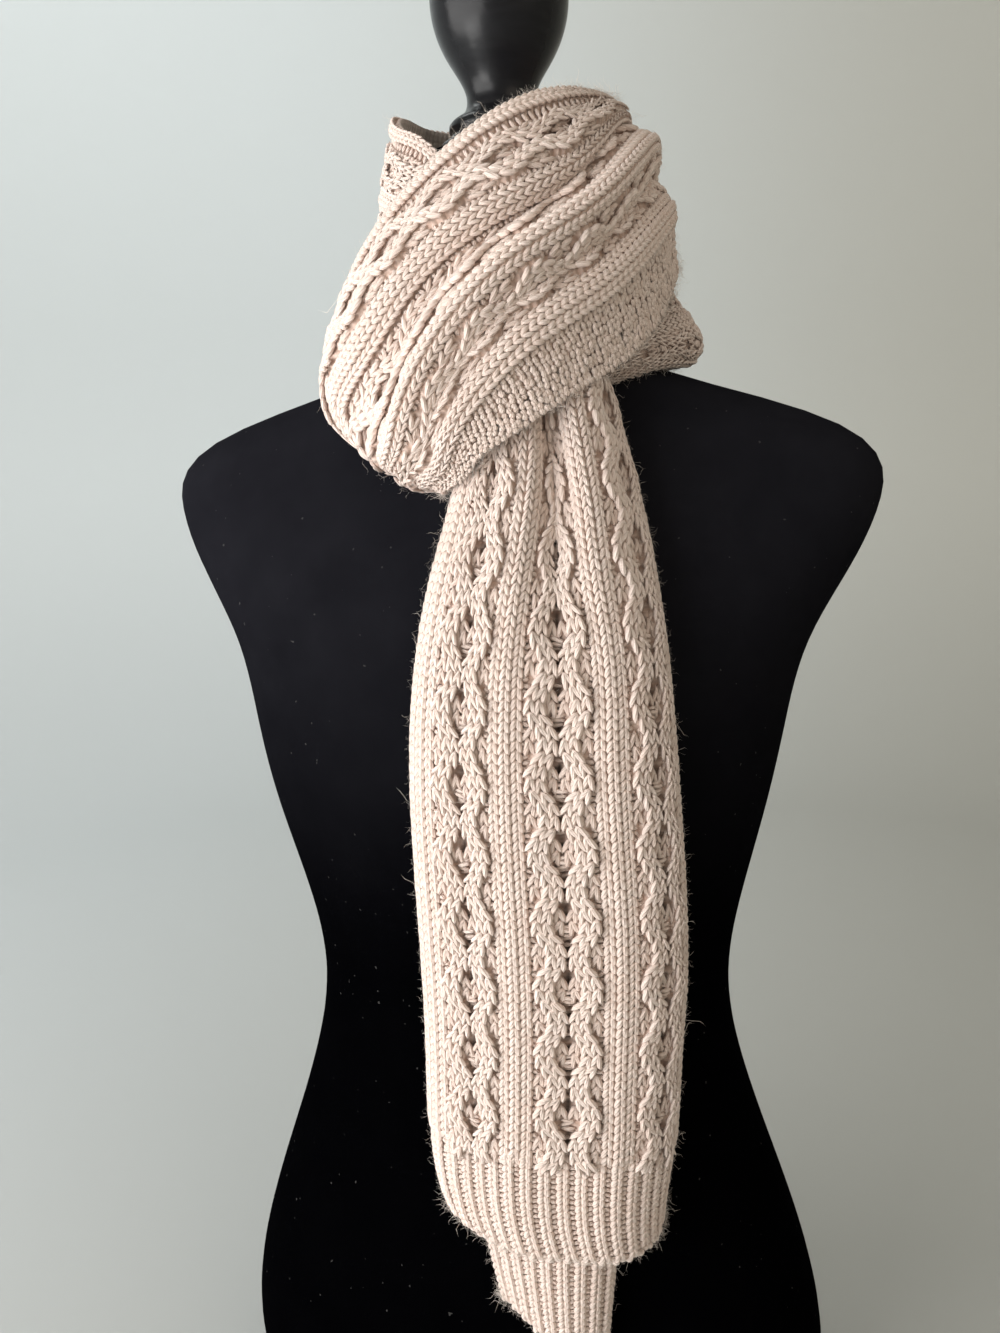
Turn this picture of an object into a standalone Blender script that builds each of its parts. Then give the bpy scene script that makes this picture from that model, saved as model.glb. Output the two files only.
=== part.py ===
"""A cable-knit scarf, doubled and pulled through its own loop, on a limbless dress form.

The form faces -Y and stands on its flat base at z = 0, with X to its own left. The doubled
scarf goes behind the neck. On the +X side its fold comes forward as one loose loop, the front
band, which crosses the chest, turns back under itself at the lower corner and returns low
behind the two ends. The ends come round the -X side of the neck, pass down inside the loop
and hang as the front tail and the back tail. Tables are in millimetres and degrees.
"""

import math
from collections import namedtuple

import bmesh
import bpy
import numpy as np

MM = 0.001

# Driving sizes of the knitted cloth
CLOTH = 2.5 * MM  # plain thickness of the wall, under its raised stitches
ROPE_RISE = 3.2 * MM  # how far a cable rope stands above the ground
RIB_RISE = 1.8 * MM
HEM_RISE = 1.2 * MM
RIB_SHOULDER = 0.2  # share of a rib's width taken by each of its sloping sides
REPEAT = 32.0  # mm of length for one wave of the cables
ROPE_OFFSET = 9.0  # mm from a cable's middle to the middle of each of its ropes
ROPE_SWAY = 2.8  # mm that a rope wanders to each side
ROPE_HALF = 4.0  # mm, half of a rope's flat top
HEM_DEPTH = 45.0  # mm of ribbing at a hem
HEM_BLEND = 8.0  # mm over which the cables die away into the ribbing
SEAM_GAP = 1.0  # mm left between two stretches of the scarf
SHOWN_ROW = 8.5  # mm between the wall's rows where the scarf shows in front
SIDE_ROW = 11.0  # mm at the sides
BACK_ROW = 13.5  # mm behind the neck and under the front tail
INSIDE_STEP = 2  # the plain inside has one line for this many of the outside's
PLAIN_FROM = 82.0  # mm across, where the folded-back half of the back tail turns plain
PLAIN_LINES = (89, 95, 101, 112, 125, 138, 151, 164, 176, 188, 200)  # mm across, out of sight

# Driving sizes of the dress form
NECK_Y = -5.0  # mm, the neck's axis lies a little in front of the form's middle
TORSO_SIDES = 28
TORSO_POWER = 2.1  # squareness of the body's oval sections
HIP_SECTIONS = 5  # the lowest sections get one more ring between each pair
CAP_STEPS = 24

Panel = namedtuple("Panel", "start end kind")
PANELS = (
    Panel(6, 15, "border"),
    Panel(15, 29, "rib"),
    Panel(29, 64, "cable"),
    Panel(64, 82, "rib"),
    Panel(82, 118, "cable"),
    Panel(118, 136, "rib"),
    Panel(136, 171, "cable"),
    Panel(171, 185, "rib"),
    Panel(185, 200, "border"),
)

# A fold line runs the length of a stretch: its place across the flat cloth, its share of the
# way from the stretch's first edge to its second, how far it stands out from the arc where the
# folds are full, and how far it does so all along, where an edge rolls back.
Fold = namedtuple("Fold", "across share lift roll", defaults=(0,))
BAND_FOLDS = (
    Fold(6, 0.00, -1),
    Fold(22, 0.08, 0),
    Fold(46, 0.20, 0),
    Fold(73, 0.345, 1),
    Fold(103, 0.52, -6),
    Fold(127, 0.62, 7),
    Fold(152, 0.76, -2),
    Fold(178, 0.887, 3),
    Fold(188, 0.94, 1),
    Fold(200, 1.00, 0),
)
LOWER_FOLDS = (
    Fold(6, 0.00, 0),
    Fold(46, 0.20, 0),
    Fold(98, 0.45, -1),
    Fold(127, 0.60, 3),
    Fold(152, 0.80, 8),
    Fold(171, 0.93, 6),
    Fold(185, 0.975, 1),
    Fold(200, 1.00, -4),
)
TAIL_FOLDS = (
    Fold(6, 0.020, 0, -9),
    Fold(15, 0.005, 0, -4.5),
    Fold(22, 0.045, 0, -0.5),
    Fold(46, 0.195, 1),
    Fold(73, 0.36, 3),
    Fold(100, 0.56, -4),
    Fold(127, 0.76, 4),
    Fold(152, 0.91, 0, -0.5),
    Fold(176, 0.985, -1, -4),
    Fold(200, 0.99, 0, -14),
)
DOUBLED_FOLDS = (
    Fold(6, 0.00, 0),
    Fold(46, 0.45, 1),
    Fold(86, 0.95, 0),
    Fold(95, 1.00, -3.5),
    Fold(104, 0.95, -7),
    Fold(150, 0.45, -7.5),
    Fold(200, 0.02, -7.5),
)

# A section across a stretch round the neck: angle (0 in front, 90 on the +X side), radius and
# height of its top edge and of its low edge, the bulge of its arc, how deep its folds are, and
# the shares at which its three ribs lie, which drift across the stretch as it turns.
NeckSection = namedtuple(
    "NeckSection", "top_at top_r top_z low_at low_r low_z bulge folds rib_a rib_b rib_c"
)
RIBS_LAID_FLAT = (0.345, 0.62, 0.887)
UPPER_STRAND = (
    NeckSection(-16, 82, 591, 1, 88, 575, 0, 0.2, 0.33, 0.60, 0.88),
    NeckSection(-60, 90, 616, -5, 105, 572, 2, 0.4, 0.36, 0.70, 0.90),
    NeckSection(-75, 89, 643, 1, 113, 577, 2, 0.8, 0.40, 0.77, 0.92),
    NeckSection(-60, 86, 668, 5, 120, 585, 4, 1.0, 0.42, 0.74, 0.90),
    NeckSection(-29, 81, 706, 14, 121, 598, 6, 1.0, 0.34, 0.60, 0.81),
    NeckSection(0, 71, 738, 24, 115, 611, 7, 1.1, 0.32, 0.51, 0.75),
    NeckSection(30, 61, 757, 43, 102, 628, 7, 1.3, 0.30, 0.44, 0.70),
    NeckSection(62, 58, 762, 68, 93, 654, 6, 1.3, 0.15, 0.29, 0.62),
    NeckSection(95, 58, 765, 94, 91, 680, 6, 1.0, 0.09, 0.24, 0.61),
    NeckSection(118, 61, 766, 116, 92, 686, 6, 0.6, 0.13, 0.34, 0.65),
    NeckSection(148, 61, 769, 148, 90, 676, 7, 0.5, 0.23, 0.46, 0.78),
    NeckSection(180, 60, 770, 180, 86, 664, 7, 0.6, *RIBS_LAID_FLAT),
    NeckSection(212, 59, 769, 212, 85, 663, 6, 0.5, *RIBS_LAID_FLAT),
    NeckSection(240, 57, 768, 240, 85, 657, 2, 0.4, *RIBS_LAID_FLAT),
    NeckSection(266, 54, 767, 266, 91, 643, -2, 0.3, *RIBS_LAID_FLAT),
    NeckSection(290, 55, 761, 290, 78, 648, -1, 0.2, *RIBS_LAID_FLAT),
    NeckSection(314, 59, 750, 314, 74, 644, 0, 0.2, *RIBS_LAID_FLAT),
    NeckSection(338, 60, 736, 338, 79, 634, 0, 0.2, *RIBS_LAID_FLAT),
    NeckSection(352, 61, 716, 352, 84, 630, 0, 0.2, *RIBS_LAID_FLAT),
)
LOWER_STRAND = (
    NeckSection(46, 65, 654, 46, 70, 617, 0, 0.0, *RIBS_LAID_FLAT),
    NeckSection(60, 67, 668, 58, 76.2, 622.5, 0, 0.1, *RIBS_LAID_FLAT),
    NeckSection(76, 70, 678, 76, 87, 630, 2, 0.3, *RIBS_LAID_FLAT),
    NeckSection(92, 71, 690, 92, 93, 632.2, 7, 0.8, *RIBS_LAID_FLAT),
    NeckSection(106, 72, 698, 106, 95, 634.2, 8, 1.0, *RIBS_LAID_FLAT),
    NeckSection(118, 71, 700, 118, 94, 634.2, 7, 0.9, *RIBS_LAID_FLAT),
    NeckSection(148, 67, 698, 148, 83, 632, 2, 0.4, *RIBS_LAID_FLAT),
    NeckSection(180, 66, 694, 180, 78, 630, 0, 0.2, *RIBS_LAID_FLAT),
    NeckSection(212, 66, 692, 212, 78, 634, 0, 0.2, *RIBS_LAID_FLAT),
    NeckSection(240, 65.5, 690, 240, 80.5, 644, 0, 0.2, *RIBS_LAID_FLAT),
    NeckSection(266, 62.8, 688, 266, 79.8, 650, 0, 0.1, *RIBS_LAID_FLAT),
    NeckSection(290, 60.5, 684, 290, 68.5, 652, 0, 0.0, *RIBS_LAID_FLAT),
    NeckSection(310, 59, 680, 310, 65, 650, 0, 0.0, *RIBS_LAID_FLAT),
)

# Which rows of the tables above end one stretch and begin the next
BAND_ENDS = 9
NAPE_ENDS = 13
RIGHT_ENDS = 5

# A section across a hanging tail: the two edges as x, y, z, the forward bulge of the arc
# between them, how deep the folds are, and the shares at which its two inner ribs lie.
TailSection = namedtuple(
    "TailSection", "left_x left_y left_z right_x right_y right_z bulge folds rib_b rib_c"
)
TAIL_RIBS_FLAT = (0.36, 0.76)
FRONT_TAIL = (
    TailSection(4, -90.5, 640, 58, -69.5, 640, 5, 1.1, 0.38, 0.66),
    TailSection(2, -103, 604, 70, -81.5, 604, 6, 1.3, 0.38, 0.66),
    TailSection(-3, -110.5, 570, 80, -90.5, 568, 12, 1.2, 0.38, 0.69),
    TailSection(-11, -122, 535, 88, -101, 533, 15, 1, 0.37, 0.72),
    TailSection(-18, -129, 498, 94, -109, 495, 15, 0.7, *TAIL_RIBS_FLAT),
    TailSection(-22, -132, 458, 98, -113, 454, 15, 0.6, *TAIL_RIBS_FLAT),
    TailSection(-24, -129, 410, 101, -111, 406, 15, 0.5, *TAIL_RIBS_FLAT),
    TailSection(-24, -123.6, 350, 103, -106.6, 346, 16, 0.5, *TAIL_RIBS_FLAT),
    TailSection(-25, -117.6, 290, 101, -101.6, 284, 17, 0.5, *TAIL_RIBS_FLAT),
    TailSection(-27, -112, 240, 99, -98, 232, 20, 0.4, *TAIL_RIBS_FLAT),
    TailSection(-26, -109, 201, 93, -96, 192, 24, 0.3, *TAIL_RIBS_FLAT),
)
BACK_TAIL = (
    TailSection(14, -71, 620, 46, -62, 620, 2, 0.6, *TAIL_RIBS_FLAT),
    TailSection(6, -88, 570, 58, -78, 568, 6, 0.8, *TAIL_RIBS_FLAT),
    TailSection(-6, -120.6, 500, 76, -108.1, 496, 8, 1, *TAIL_RIBS_FLAT),
    TailSection(-8, -125.2, 440, 78, -112.6, 436, 5.6, 1, *TAIL_RIBS_FLAT),
    TailSection(-8, -118.6, 350, 78, -108.6, 346, 8, 1, *TAIL_RIBS_FLAT),
    TailSection(-6, -111.6, 260, 75, -102.6, 250, 8, 1, *TAIL_RIBS_FLAT),
    TailSection(-2, -107.6, 195, 70, -102.6, 170, 8, 1, *TAIL_RIBS_FLAT),
    TailSection(6, -107.6, 150, 66, -102.6, 113, 8, 1, *TAIL_RIBS_FLAT),
)

# Level sections through the form: half width, depth in front of the middle and behind it.
BodySection = namedtuple("BodySection", "z half_width front back")
BODY = (
    BodySection(0, 171, 98, 110),
    BodySection(50, 178, 103, 117),
    BodySection(110, 170, 101, 117),
    BodySection(170, 151, 94, 108),
    BodySection(230, 131, 87, 95),
    BodySection(290, 121, 83, 85),
    BodySection(350, 130, 95, 85),
    BodySection(400, 142, 113, 90),
    BodySection(440, 150, 118, 95),
    BodySection(490, 163, 108, 99),
    BodySection(530, 184, 93, 97),
    BodySection(560, 196, 79, 88),
    BodySection(582, 195, 67, 79),
    BodySection(600, 174, 57, 70),
    BodySection(615, 134, 51, 63),
    BodySection(631, 84, 47, 57),
    BodySection(650, 58, 46, 53),
    BodySection(690, 47, 47, 46),
    BodySection(742, 44, 46, 43),
)

# The turned cap of the neck: radius and height of its profile, from the ball's top down.
CAP_PROFILE = (
    (0, 858),
    (14, 856),
    (26, 848),
    (34, 834),
    (36, 819),
    (33, 802),
    (26, 788),
    (20, 778),
    (18, 770),
    (20, 764),
    (26, 760),
    (28, 757),
    (27, 752),
    (31, 749),
    (34, 746),
    (34, 742.3),
    (0, 742.3),
)


def material(name, colour, roughness, metallic=0.0):
    made = bpy.data.materials.new(name)
    made.use_nodes = True
    shader = made.node_tree.nodes["Principled BSDF"]
    shader.inputs["Base Color"].default_value = (*colour, 1)
    shader.inputs["Roughness"].default_value = roughness
    shader.inputs["Metallic"].default_value = metallic
    made.diffuse_color = (*colour, 1)
    return made


def object_of(name, mesh_code, parts, finish):
    """A new object in the parts collection, from a filled bmesh."""
    mesh = bpy.data.meshes.new(name)
    mesh_code.to_mesh(mesh)
    mesh_code.free()
    mesh.shade_smooth()
    made = bpy.data.objects.new(name, mesh)
    made.data.materials.append(finish)
    parts.objects.link(made)
    return made


def smooth_weights(knots, at):
    """The matrix that turns values at the knots into a natural cubic spline's values."""
    knots = np.asarray(knots, float)
    at = np.asarray(at, float)
    count = len(knots)
    step = np.diff(knots)
    left = np.zeros((count, count))
    right = np.zeros((count, count))
    left[0, 0] = left[-1, -1] = 1.0
    for k in range(1, count - 1):
        left[k, k - 1 : k + 2] = step[k - 1], 2 * (step[k - 1] + step[k]), step[k]
        right[k, k - 1] = 6 / step[k - 1]
        right[k, k] = -6 / step[k - 1] - 6 / step[k]
        right[k, k + 1] = 6 / step[k]
    bend = np.linalg.solve(left, right)
    cell = np.clip(np.searchsorted(knots, at, side="right") - 1, 0, count - 2)
    width = step[cell]
    b = (at - knots[cell]) / width
    a = 1 - b
    rows = np.arange(len(at))
    weights = np.zeros((len(at), count))
    weights[rows, cell] = a
    weights[rows, cell + 1] += b
    weights += ((a**3 - a) * width**2 / 6)[:, None] * bend[cell]
    weights += ((b**3 - b) * width**2 / 6)[:, None] * bend[cell + 1]
    return weights


def neck_points(section, folds):
    """The fold lines' points in one section round the neck, in metres."""
    flat = (0.0, *RIBS_LAID_FLAT, 1.0)
    drifted = (0.0, section.rib_a, section.rib_b, section.rib_c, 1.0)
    points = []
    for fold in folds:
        share = float(np.interp(fold.share, flat, drifted))
        angle = math.radians(section.top_at + share * (section.low_at - section.top_at))
        arc = 4 * share * (1 - share) * section.bulge
        radius = section.top_r + share * (section.low_r - section.top_r) + arc
        radius += fold.lift * section.folds
        height = section.top_z + share * (section.low_z - section.top_z)
        points.append(
            (
                radius * math.sin(angle) * MM,
                (NECK_Y - radius * math.cos(angle)) * MM,
                height * MM,
            )
        )
    return points


def tail_points(section, folds):
    """The fold lines' points in one section across a tail, in metres."""
    left = np.array((section.left_x, section.left_y, section.left_z), float)
    right = np.array((section.right_x, section.right_y, section.right_z), float)
    outward = np.array((right[1] - left[1], left[0] - right[0], 0.0))
    outward /= np.linalg.norm(outward)
    flat = (0.0, *TAIL_RIBS_FLAT, 1.0)
    drifted = (0.0, section.rib_b, section.rib_c, 1.0)
    points = []
    for fold in folds:
        share = float(np.interp(fold.share, flat, drifted))
        arc = 4 * share * (1 - share) * section.bulge + fold.lift * section.folds + fold.roll
        points.append(tuple((left + share * (right - left) + arc * outward) * MM))
    return points


class Stretch:
    """The smooth middle surface of one stretch: fold lines crossed by sections."""

    def __init__(self, sections, folds):
        place = neck_points if isinstance(sections[0], NeckSection) else tail_points
        self.net = np.array([place(section, folds) for section in sections])
        self.across = [fold.across for fold in folds]
        middle = self.net[:, len(folds) // 2]
        steps = np.linalg.norm(np.diff(middle, axis=0), axis=1) / MM
        self.along = np.concatenate([[0.0], np.cumsum(steps)])

    def points(self, across, along):
        """Surface points for arrays of equal shape, in mm of flat cloth."""
        flat_across = np.ravel(across)
        flat_along = np.ravel(along)
        u = smooth_weights(self.across, flat_across)
        v = smooth_weights(self.along, flat_along)
        found = np.einsum("pv,vuc,pu->pc", v, self.net, u)
        return found.reshape(*np.shape(across), 3)

    def outward(self, across, along):
        """Unit normals, by differences, away from the neck or the body."""
        reach = 1.0
        du = self.points(across + reach, along) - self.points(across - reach, along)
        dv = self.points(across, along + reach) - self.points(across, along - reach)
        normal = np.cross(du, dv)
        normal /= np.linalg.norm(normal, axis=-1, keepdims=True)
        away = self.points(across, along) - np.array((0.0, NECK_Y * MM, 0.0))
        away[..., 2] = 0.0
        return normal if (normal * away).sum() > 0 else -normal


def stitch_lines(along, wanders, raised_to):
    """Where the wall's lines cross the cloth at this place along it, and how high they stand.

    Each rib has two lines and each cable two for either rope, which wander with the ropes.
    Past raised_to the wall is plain.
    """
    wave = math.cos(2 * math.pi * along / REPEAT) if wanders else 0.0
    lines = []
    for panel in PANELS:
        lines.append((panel.start, 0.0))
        if panel.kind == "rib":
            margin = (panel.end - panel.start) * RIB_SHOULDER
            lines.append((panel.start + margin, RIB_RISE))
            lines.append((panel.end - margin, RIB_RISE))
        if panel.kind == "cable":
            middle = (panel.start + panel.end) / 2
            offset = ROPE_OFFSET + ROPE_SWAY * wave
            for rope in (middle - offset, middle + offset):
                if rope > middle:
                    lines.append((middle, 0.0))
                lines.append((rope - ROPE_HALF, ROPE_RISE))
                lines.append((rope + ROPE_HALF, ROPE_RISE))
    lines.append((PANELS[-1].end, 0.0))
    if raised_to is None:
        return lines
    kept = [line for line in lines if line[0] <= raised_to]
    return kept + [(place, 0.0) for place in PLAIN_LINES if place > raised_to]


def hem_share(along, hem_at):
    """0 above the hem's ribbing, 1 in it."""
    if hem_at is None:
        return 0.0
    return min(max((along - hem_at) / HEM_BLEND + 1.0, 0.0), 1.0)


def every(count, step):
    """Indices 0, step, 2 step ... and always the last one."""
    picked = list(range(0, count - 1, step))
    if count - 1 - picked[-1] < step / 2 and len(picked) > 1:
        picked.pop()
    return picked + [count - 1]


def bridge(mesh_code, fine, coarse, picked):
    """Faces between a fine row of vertices and the coarse row under its picked ones."""
    for k in range(len(picked) - 1):
        low, high = picked[k], picked[k + 1]
        middle = (low + high) // 2
        for j in range(low, high):
            near = coarse[k] if j < middle else coarse[k + 1]
            mesh_code.faces.new((fine[j], fine[j + 1], near))
        mesh_code.faces.new((fine[middle], coarse[k + 1], coarse[k]))


def cloth_wall(name, stretch, parts, finish, row, begin=0, end=-1,
               hem=False, wanders=True, raised_to=None):
    """One piece of knitted wall: raised stitches outside, plain inside, closed at its rims."""
    count = len(stretch.along)
    low = stretch.along[begin] + (SEAM_GAP / 2 if begin > 0 else 0.0)
    high = stretch.along[end] - (SEAM_GAP / 2 if end % count < count - 1 else 0.0)
    rows = max(int(round((high - low) / row)), 4)
    places = np.linspace(low, high, rows + 1)
    hem_at = high - HEM_DEPTH if hem else None
    across, rise = [], []
    for place in places:
        lines = stitch_lines(place, wanders, raised_to)
        ribbing = hem_share(place, hem_at)
        across.append([line[0] for line in lines])
        rise.append([line[1] * (1 - ribbing) + HEM_RISE * ribbing * (k % 2)
                     for k, line in enumerate(lines)])
    across = np.array(across)
    along = np.repeat(places[:, None], across.shape[1], axis=1)
    normal = stretch.outward(across, along)
    surface = stretch.points(across, along)
    outer = surface + normal * np.array(rise)[..., None]
    inner = surface - normal * CLOTH

    code = bmesh.new()
    skin = [[code.verts.new(point) for point in line] for line in outer]
    down = every(len(skin), INSIDE_STEP)
    over = every(len(skin[0]), INSIDE_STEP)
    lining = [[code.verts.new(inner[i][j]) for j in over] for i in down]
    for i in range(len(skin) - 1):
        for j in range(len(skin[0]) - 1):
            face = (skin[i][j], skin[i + 1][j], skin[i + 1][j + 1], skin[i][j + 1])
            code.faces.new(face)
    for i in range(len(down) - 1):
        for j in range(len(over) - 1):
            face = (lining[i][j], lining[i][j + 1], lining[i + 1][j + 1], lining[i + 1][j])
            code.faces.new(face)
    bridge(code, skin[0], lining[0], over)
    bridge(code, skin[-1], lining[-1], over)
    bridge(code, [line[0] for line in skin], [line[0] for line in lining], down)
    bridge(code, [line[-1] for line in skin], [line[-1] for line in lining], down)
    bmesh.ops.triangulate(code, faces=code.faces[:])
    bmesh.ops.recalc_face_normals(code, faces=code.faces[:])
    return object_of(name, code, parts, finish)


def torso(parts, finish):
    """The form's body, lofted through its level sections, flat at the base and the neck."""
    code = bmesh.new()
    heights = [section.z for section in BODY]
    hips = heights[: HIP_SECTIONS + 1]
    between = [(low + high) / 2 for low, high in zip(hips, hips[1:])]
    levels = sorted(heights + between)
    sizes = smooth_weights(heights, levels) @ np.array(
        [(section.half_width, section.front, section.back) for section in BODY], float
    )
    rings = []
    for level, (half_width, front, back) in zip(levels, sizes):
        ring = []
        for k in range(TORSO_SIDES):
            turn = 2 * math.pi * k / TORSO_SIDES
            across, ahead = math.cos(turn), math.sin(turn)
            power = 2 / TORSO_POWER
            x = half_width * math.copysign(abs(across) ** power, across)
            depth = back if ahead > 0 else front
            y = depth * math.copysign(abs(ahead) ** power, ahead)
            ring.append(code.verts.new((x * MM, y * MM, level * MM)))
        rings.append(ring)
    for low, high in zip(rings, rings[1:]):
        for k in range(TORSO_SIDES):
            after = (k + 1) % TORSO_SIDES
            code.faces.new((low[k], low[after], high[after], high[k]))
    code.faces.new(rings[0][::-1])
    code.faces.new(rings[-1])
    return object_of("torso", code, parts, finish)


def neck_cap(parts, finish):
    """The turned ball on the neck: a profile spun about the neck's axis."""
    code = bmesh.new()
    line = [code.verts.new((radius * MM, 0, height * MM)) for radius, height in CAP_PROFILE]
    for a, b in zip(line, line[1:]):
        code.edges.new((a, b))
    made = object_of("neck_cap", code, parts, finish)
    made.location.y = NECK_Y * MM
    spin = made.modifiers.new("spin", "SCREW")
    spin.steps = CAP_STEPS
    spin.render_steps = CAP_STEPS
    spin.use_merge_vertices = True
    spin.merge_threshold = 0.0001
    return made


def main():
    for old in list(bpy.data.objects):
        bpy.data.objects.remove(old)
    parts = bpy.data.collections.new("looped_scarf_on_form")
    bpy.context.scene.collection.children.link(parts)
    wool = material("cream knit", (0.76, 0.64, 0.53), 0.95)
    jersey = material("black jersey", (0.012, 0.012, 0.015), 0.9)
    paint = material("black painted wood", (0.01, 0.01, 0.012), 0.25)
    torso(parts, jersey)
    neck_cap(parts, paint)
    upper = Stretch(UPPER_STRAND, BAND_FOLDS)
    lower = Stretch(LOWER_STRAND, LOWER_FOLDS)
    cloth_wall("front_band", upper, parts, wool, SHOWN_ROW, end=BAND_ENDS)
    cloth_wall("nape_upper", upper, parts, wool, BACK_ROW,
               begin=BAND_ENDS, end=NAPE_ENDS, wanders=False)
    cloth_wall("left_upper", upper, parts, wool, SIDE_ROW, begin=NAPE_ENDS, wanders=False)
    cloth_wall("right_lower", lower, parts, wool, SIDE_ROW, end=RIGHT_ENDS, wanders=False)
    cloth_wall("nape_lower", lower, parts, wool, BACK_ROW, begin=RIGHT_ENDS, wanders=False)
    front_tail = Stretch(FRONT_TAIL, TAIL_FOLDS)
    back_tail = Stretch(BACK_TAIL, DOUBLED_FOLDS)
    cloth_wall("front_tail", front_tail, parts, wool, SHOWN_ROW, hem=True)
    cloth_wall("back_tail", back_tail, parts, wool, BACK_ROW, hem=True, raised_to=PLAIN_FROM)


main()
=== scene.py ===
"""A cable-knit scarf, looped on a limbless dress form, in a pale studio.

The scarf is one knitted strip. Each stretch of it is a thin shell, the cloth's ground, with its
ropes, ribs and ribbing raised on the outer side, and a layer of yarn: two plump legs for every
knit stitch and one bump for every purl, laid by a Geometry Nodes tree along the wales. Tables
are in millimetres and degrees, as a knitter and a pattern cutter would note them.
"""

import math
from collections import namedtuple

import bmesh
import bpy
import numpy as np
from mathutils import Matrix, Vector


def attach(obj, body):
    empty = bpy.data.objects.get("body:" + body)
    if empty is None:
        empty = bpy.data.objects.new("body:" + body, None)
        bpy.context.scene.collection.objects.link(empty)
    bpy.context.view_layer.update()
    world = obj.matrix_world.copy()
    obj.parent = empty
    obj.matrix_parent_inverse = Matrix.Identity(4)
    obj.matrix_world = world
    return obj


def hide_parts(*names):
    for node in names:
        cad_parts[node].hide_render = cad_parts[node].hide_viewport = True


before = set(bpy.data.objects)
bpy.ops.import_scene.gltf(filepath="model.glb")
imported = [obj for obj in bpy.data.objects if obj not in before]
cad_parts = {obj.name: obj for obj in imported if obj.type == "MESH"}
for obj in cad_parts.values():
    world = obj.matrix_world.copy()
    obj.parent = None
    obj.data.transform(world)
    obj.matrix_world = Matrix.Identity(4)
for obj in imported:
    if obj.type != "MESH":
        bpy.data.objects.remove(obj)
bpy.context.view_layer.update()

MM = 0.001

# Rows: mm of the strip's length for one row of stitches
ROW = 4.8
HEM_ROW = 3.8
EDGE_ROW = 3.7
STRAND_ROW = 6.4
SHORTEST_WALE = 4  # mm, under which no stitch is laid
WALE_STEP = 1.0  # mm between the places where a wale's length is measured

# The legs of a knit stitch: their length in rows, their width in half wales, and their
# lean off the wale in degrees. They dip into the cloth towards the hem.
LEG_SPAN = 1.55
LEG_PLUMP = 1.28
LEG_LEAN = 18.0
LEG_DIP = 0.10
LEG_RISE = 0.35  # mm that a leg's middle stands off the ground
LEG_THICKEST = 1.8  # half of its thickness in mm, before it is fluffed up
LEG_FLUFF = 0.1
LEG_TURN_SHAKE = 0.035  # radians
LEG_PLACE_SHAKE = 0.07  # mm
HEM_LEAN = 24.0
STRAND_SPAN = 1.55
STRAND_PLUMP = 1.36
STRAND_LEAN = 17.0
STRAND_DIP = 0.06
STRAND_BEHIND_SHADE = 0.30  # painted shade on the yarn of a strand behind, which lies deeper

# Columns of purl bumps: their rows in mm, how far they lift off the cloth in mm and how much
# painted shade they take for lying deep, half of their thickness in rows, how unevenly they
# turn and stray, and how flat they are
Purl = namedtuple("Purl", "row lift depth thick wobble shake flat", defaults=(0.10, 1.0))
GUTTER_PURL = Purl(ROW / 1.6, 0.7, 0.20, 0.46, 0.25)
HEM_PURL = Purl(HEM_ROW / 1.4, 0.5, 0.12, 0.46, 0.25)
LADDER_PURL = Purl(EDGE_ROW, 0.3, 0.15, 0.28, 0.20)
MOSS_PURL = Purl(3.1, 0.3, 0.04, 0.52, 0.45, 0.32, 0.62)
MOSS_TURN = 0.35  # slope of the border's bumps, one way and the other by turns
MOSS_HALF = 0.74  # half of a bump's length, in wales
LADDER_HALF = 0.55

# The gutters beside a cable's ropes, and the bars across its middle, in mm
GUTTER_OVERLAP = 1.0  # how far a bump runs in under the rope beside it
GUTTER_NARROWEST = 1.4  # half of its length
GUTTER_WIDEST = 4.0
BORDER_GAP = 0.2
BAR_PLACE_SHAKE = 0.25
BAR_TURN_SHAKE = 0.16  # as a slope

# The cloth
STRIP_FROM = 6.0  # mm across, the cloth's left edge
STRIP_TO = 200.0
CLOTH = 2.2  # mm thick, under the raised stitches
GROUND_SUNK = 0.35  # mm that the ground lies under the foot of its stitches
GROUND_WALE = 3.8  # mm from one purl bump of the ground to the next
RIB_RISE = 2.1
RIB_FLATNESS = 3  # how flat a rib is on top: 1 is a ridge
HEM_RISE = 1.1
HEM_FLATNESS = 0.6  # of the wave of the ribbing: 1 is plain, under 1 is flatter on top
TIGHT_LOSS = 0.6  # part of the ropes' fullness lost where the cloth is wound tight
TIGHT_OVER = 40.0  # mm of length in which it is lost
UPPER_FULLNESS = 1.25
UPPER_CALM = 80.0  # mm before the front band's end, where its ropes start to flatten
LOWER_CALM = -40.0  # the lower strand lies flat from its start

# The cables
BAND_REPEAT = 32.5  # mm of length for one crossing of the cables
TAIL_REPEAT = 34.8
BAND_CLUSTER = 10.4  # mm from the start of a stretch to its first cluster of bars
TAIL_CLUSTER = 3.0
REPEATS = np.arange(-2, 40)  # more than any stretch holds
BAR_MARGIN = 1  # mm at a stretch's ends without a bar
ROPE_OFFSET = 9.0  # mm from a cable's middle to the middle of each of its ropes
ROPE_HALF = 4.4  # mm from a strand's middle to its rope's edge
SNAP = 0.9  # how suddenly the strands cross: 0 is a plain wave
STRAND_SWING = 3.3  # mm that a strand swings off its rope's middle
STRAND_WALE = 4.9  # mm between the two wales of a strand
STRAND_HALF = 5.0  # mm, half the width of the mound under a strand
FRONT_RISE = 4.9  # mm that the strand in front stands up
BEHIND_RISE = 1.9
OUTERMOST = 0.93  # part of a repeat where the strand in front swings furthest out
CLEAR_OUTSIDE = -0.4  # the strand behind shows where the cosine of its turn is under this
CLEAR_INSIDE = 0.66  # or over this
HOLE_HALF = 2.6  # mm across, half of an open hole
HOLE_LENGTH = 1.3  # mm down, half of it

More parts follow.
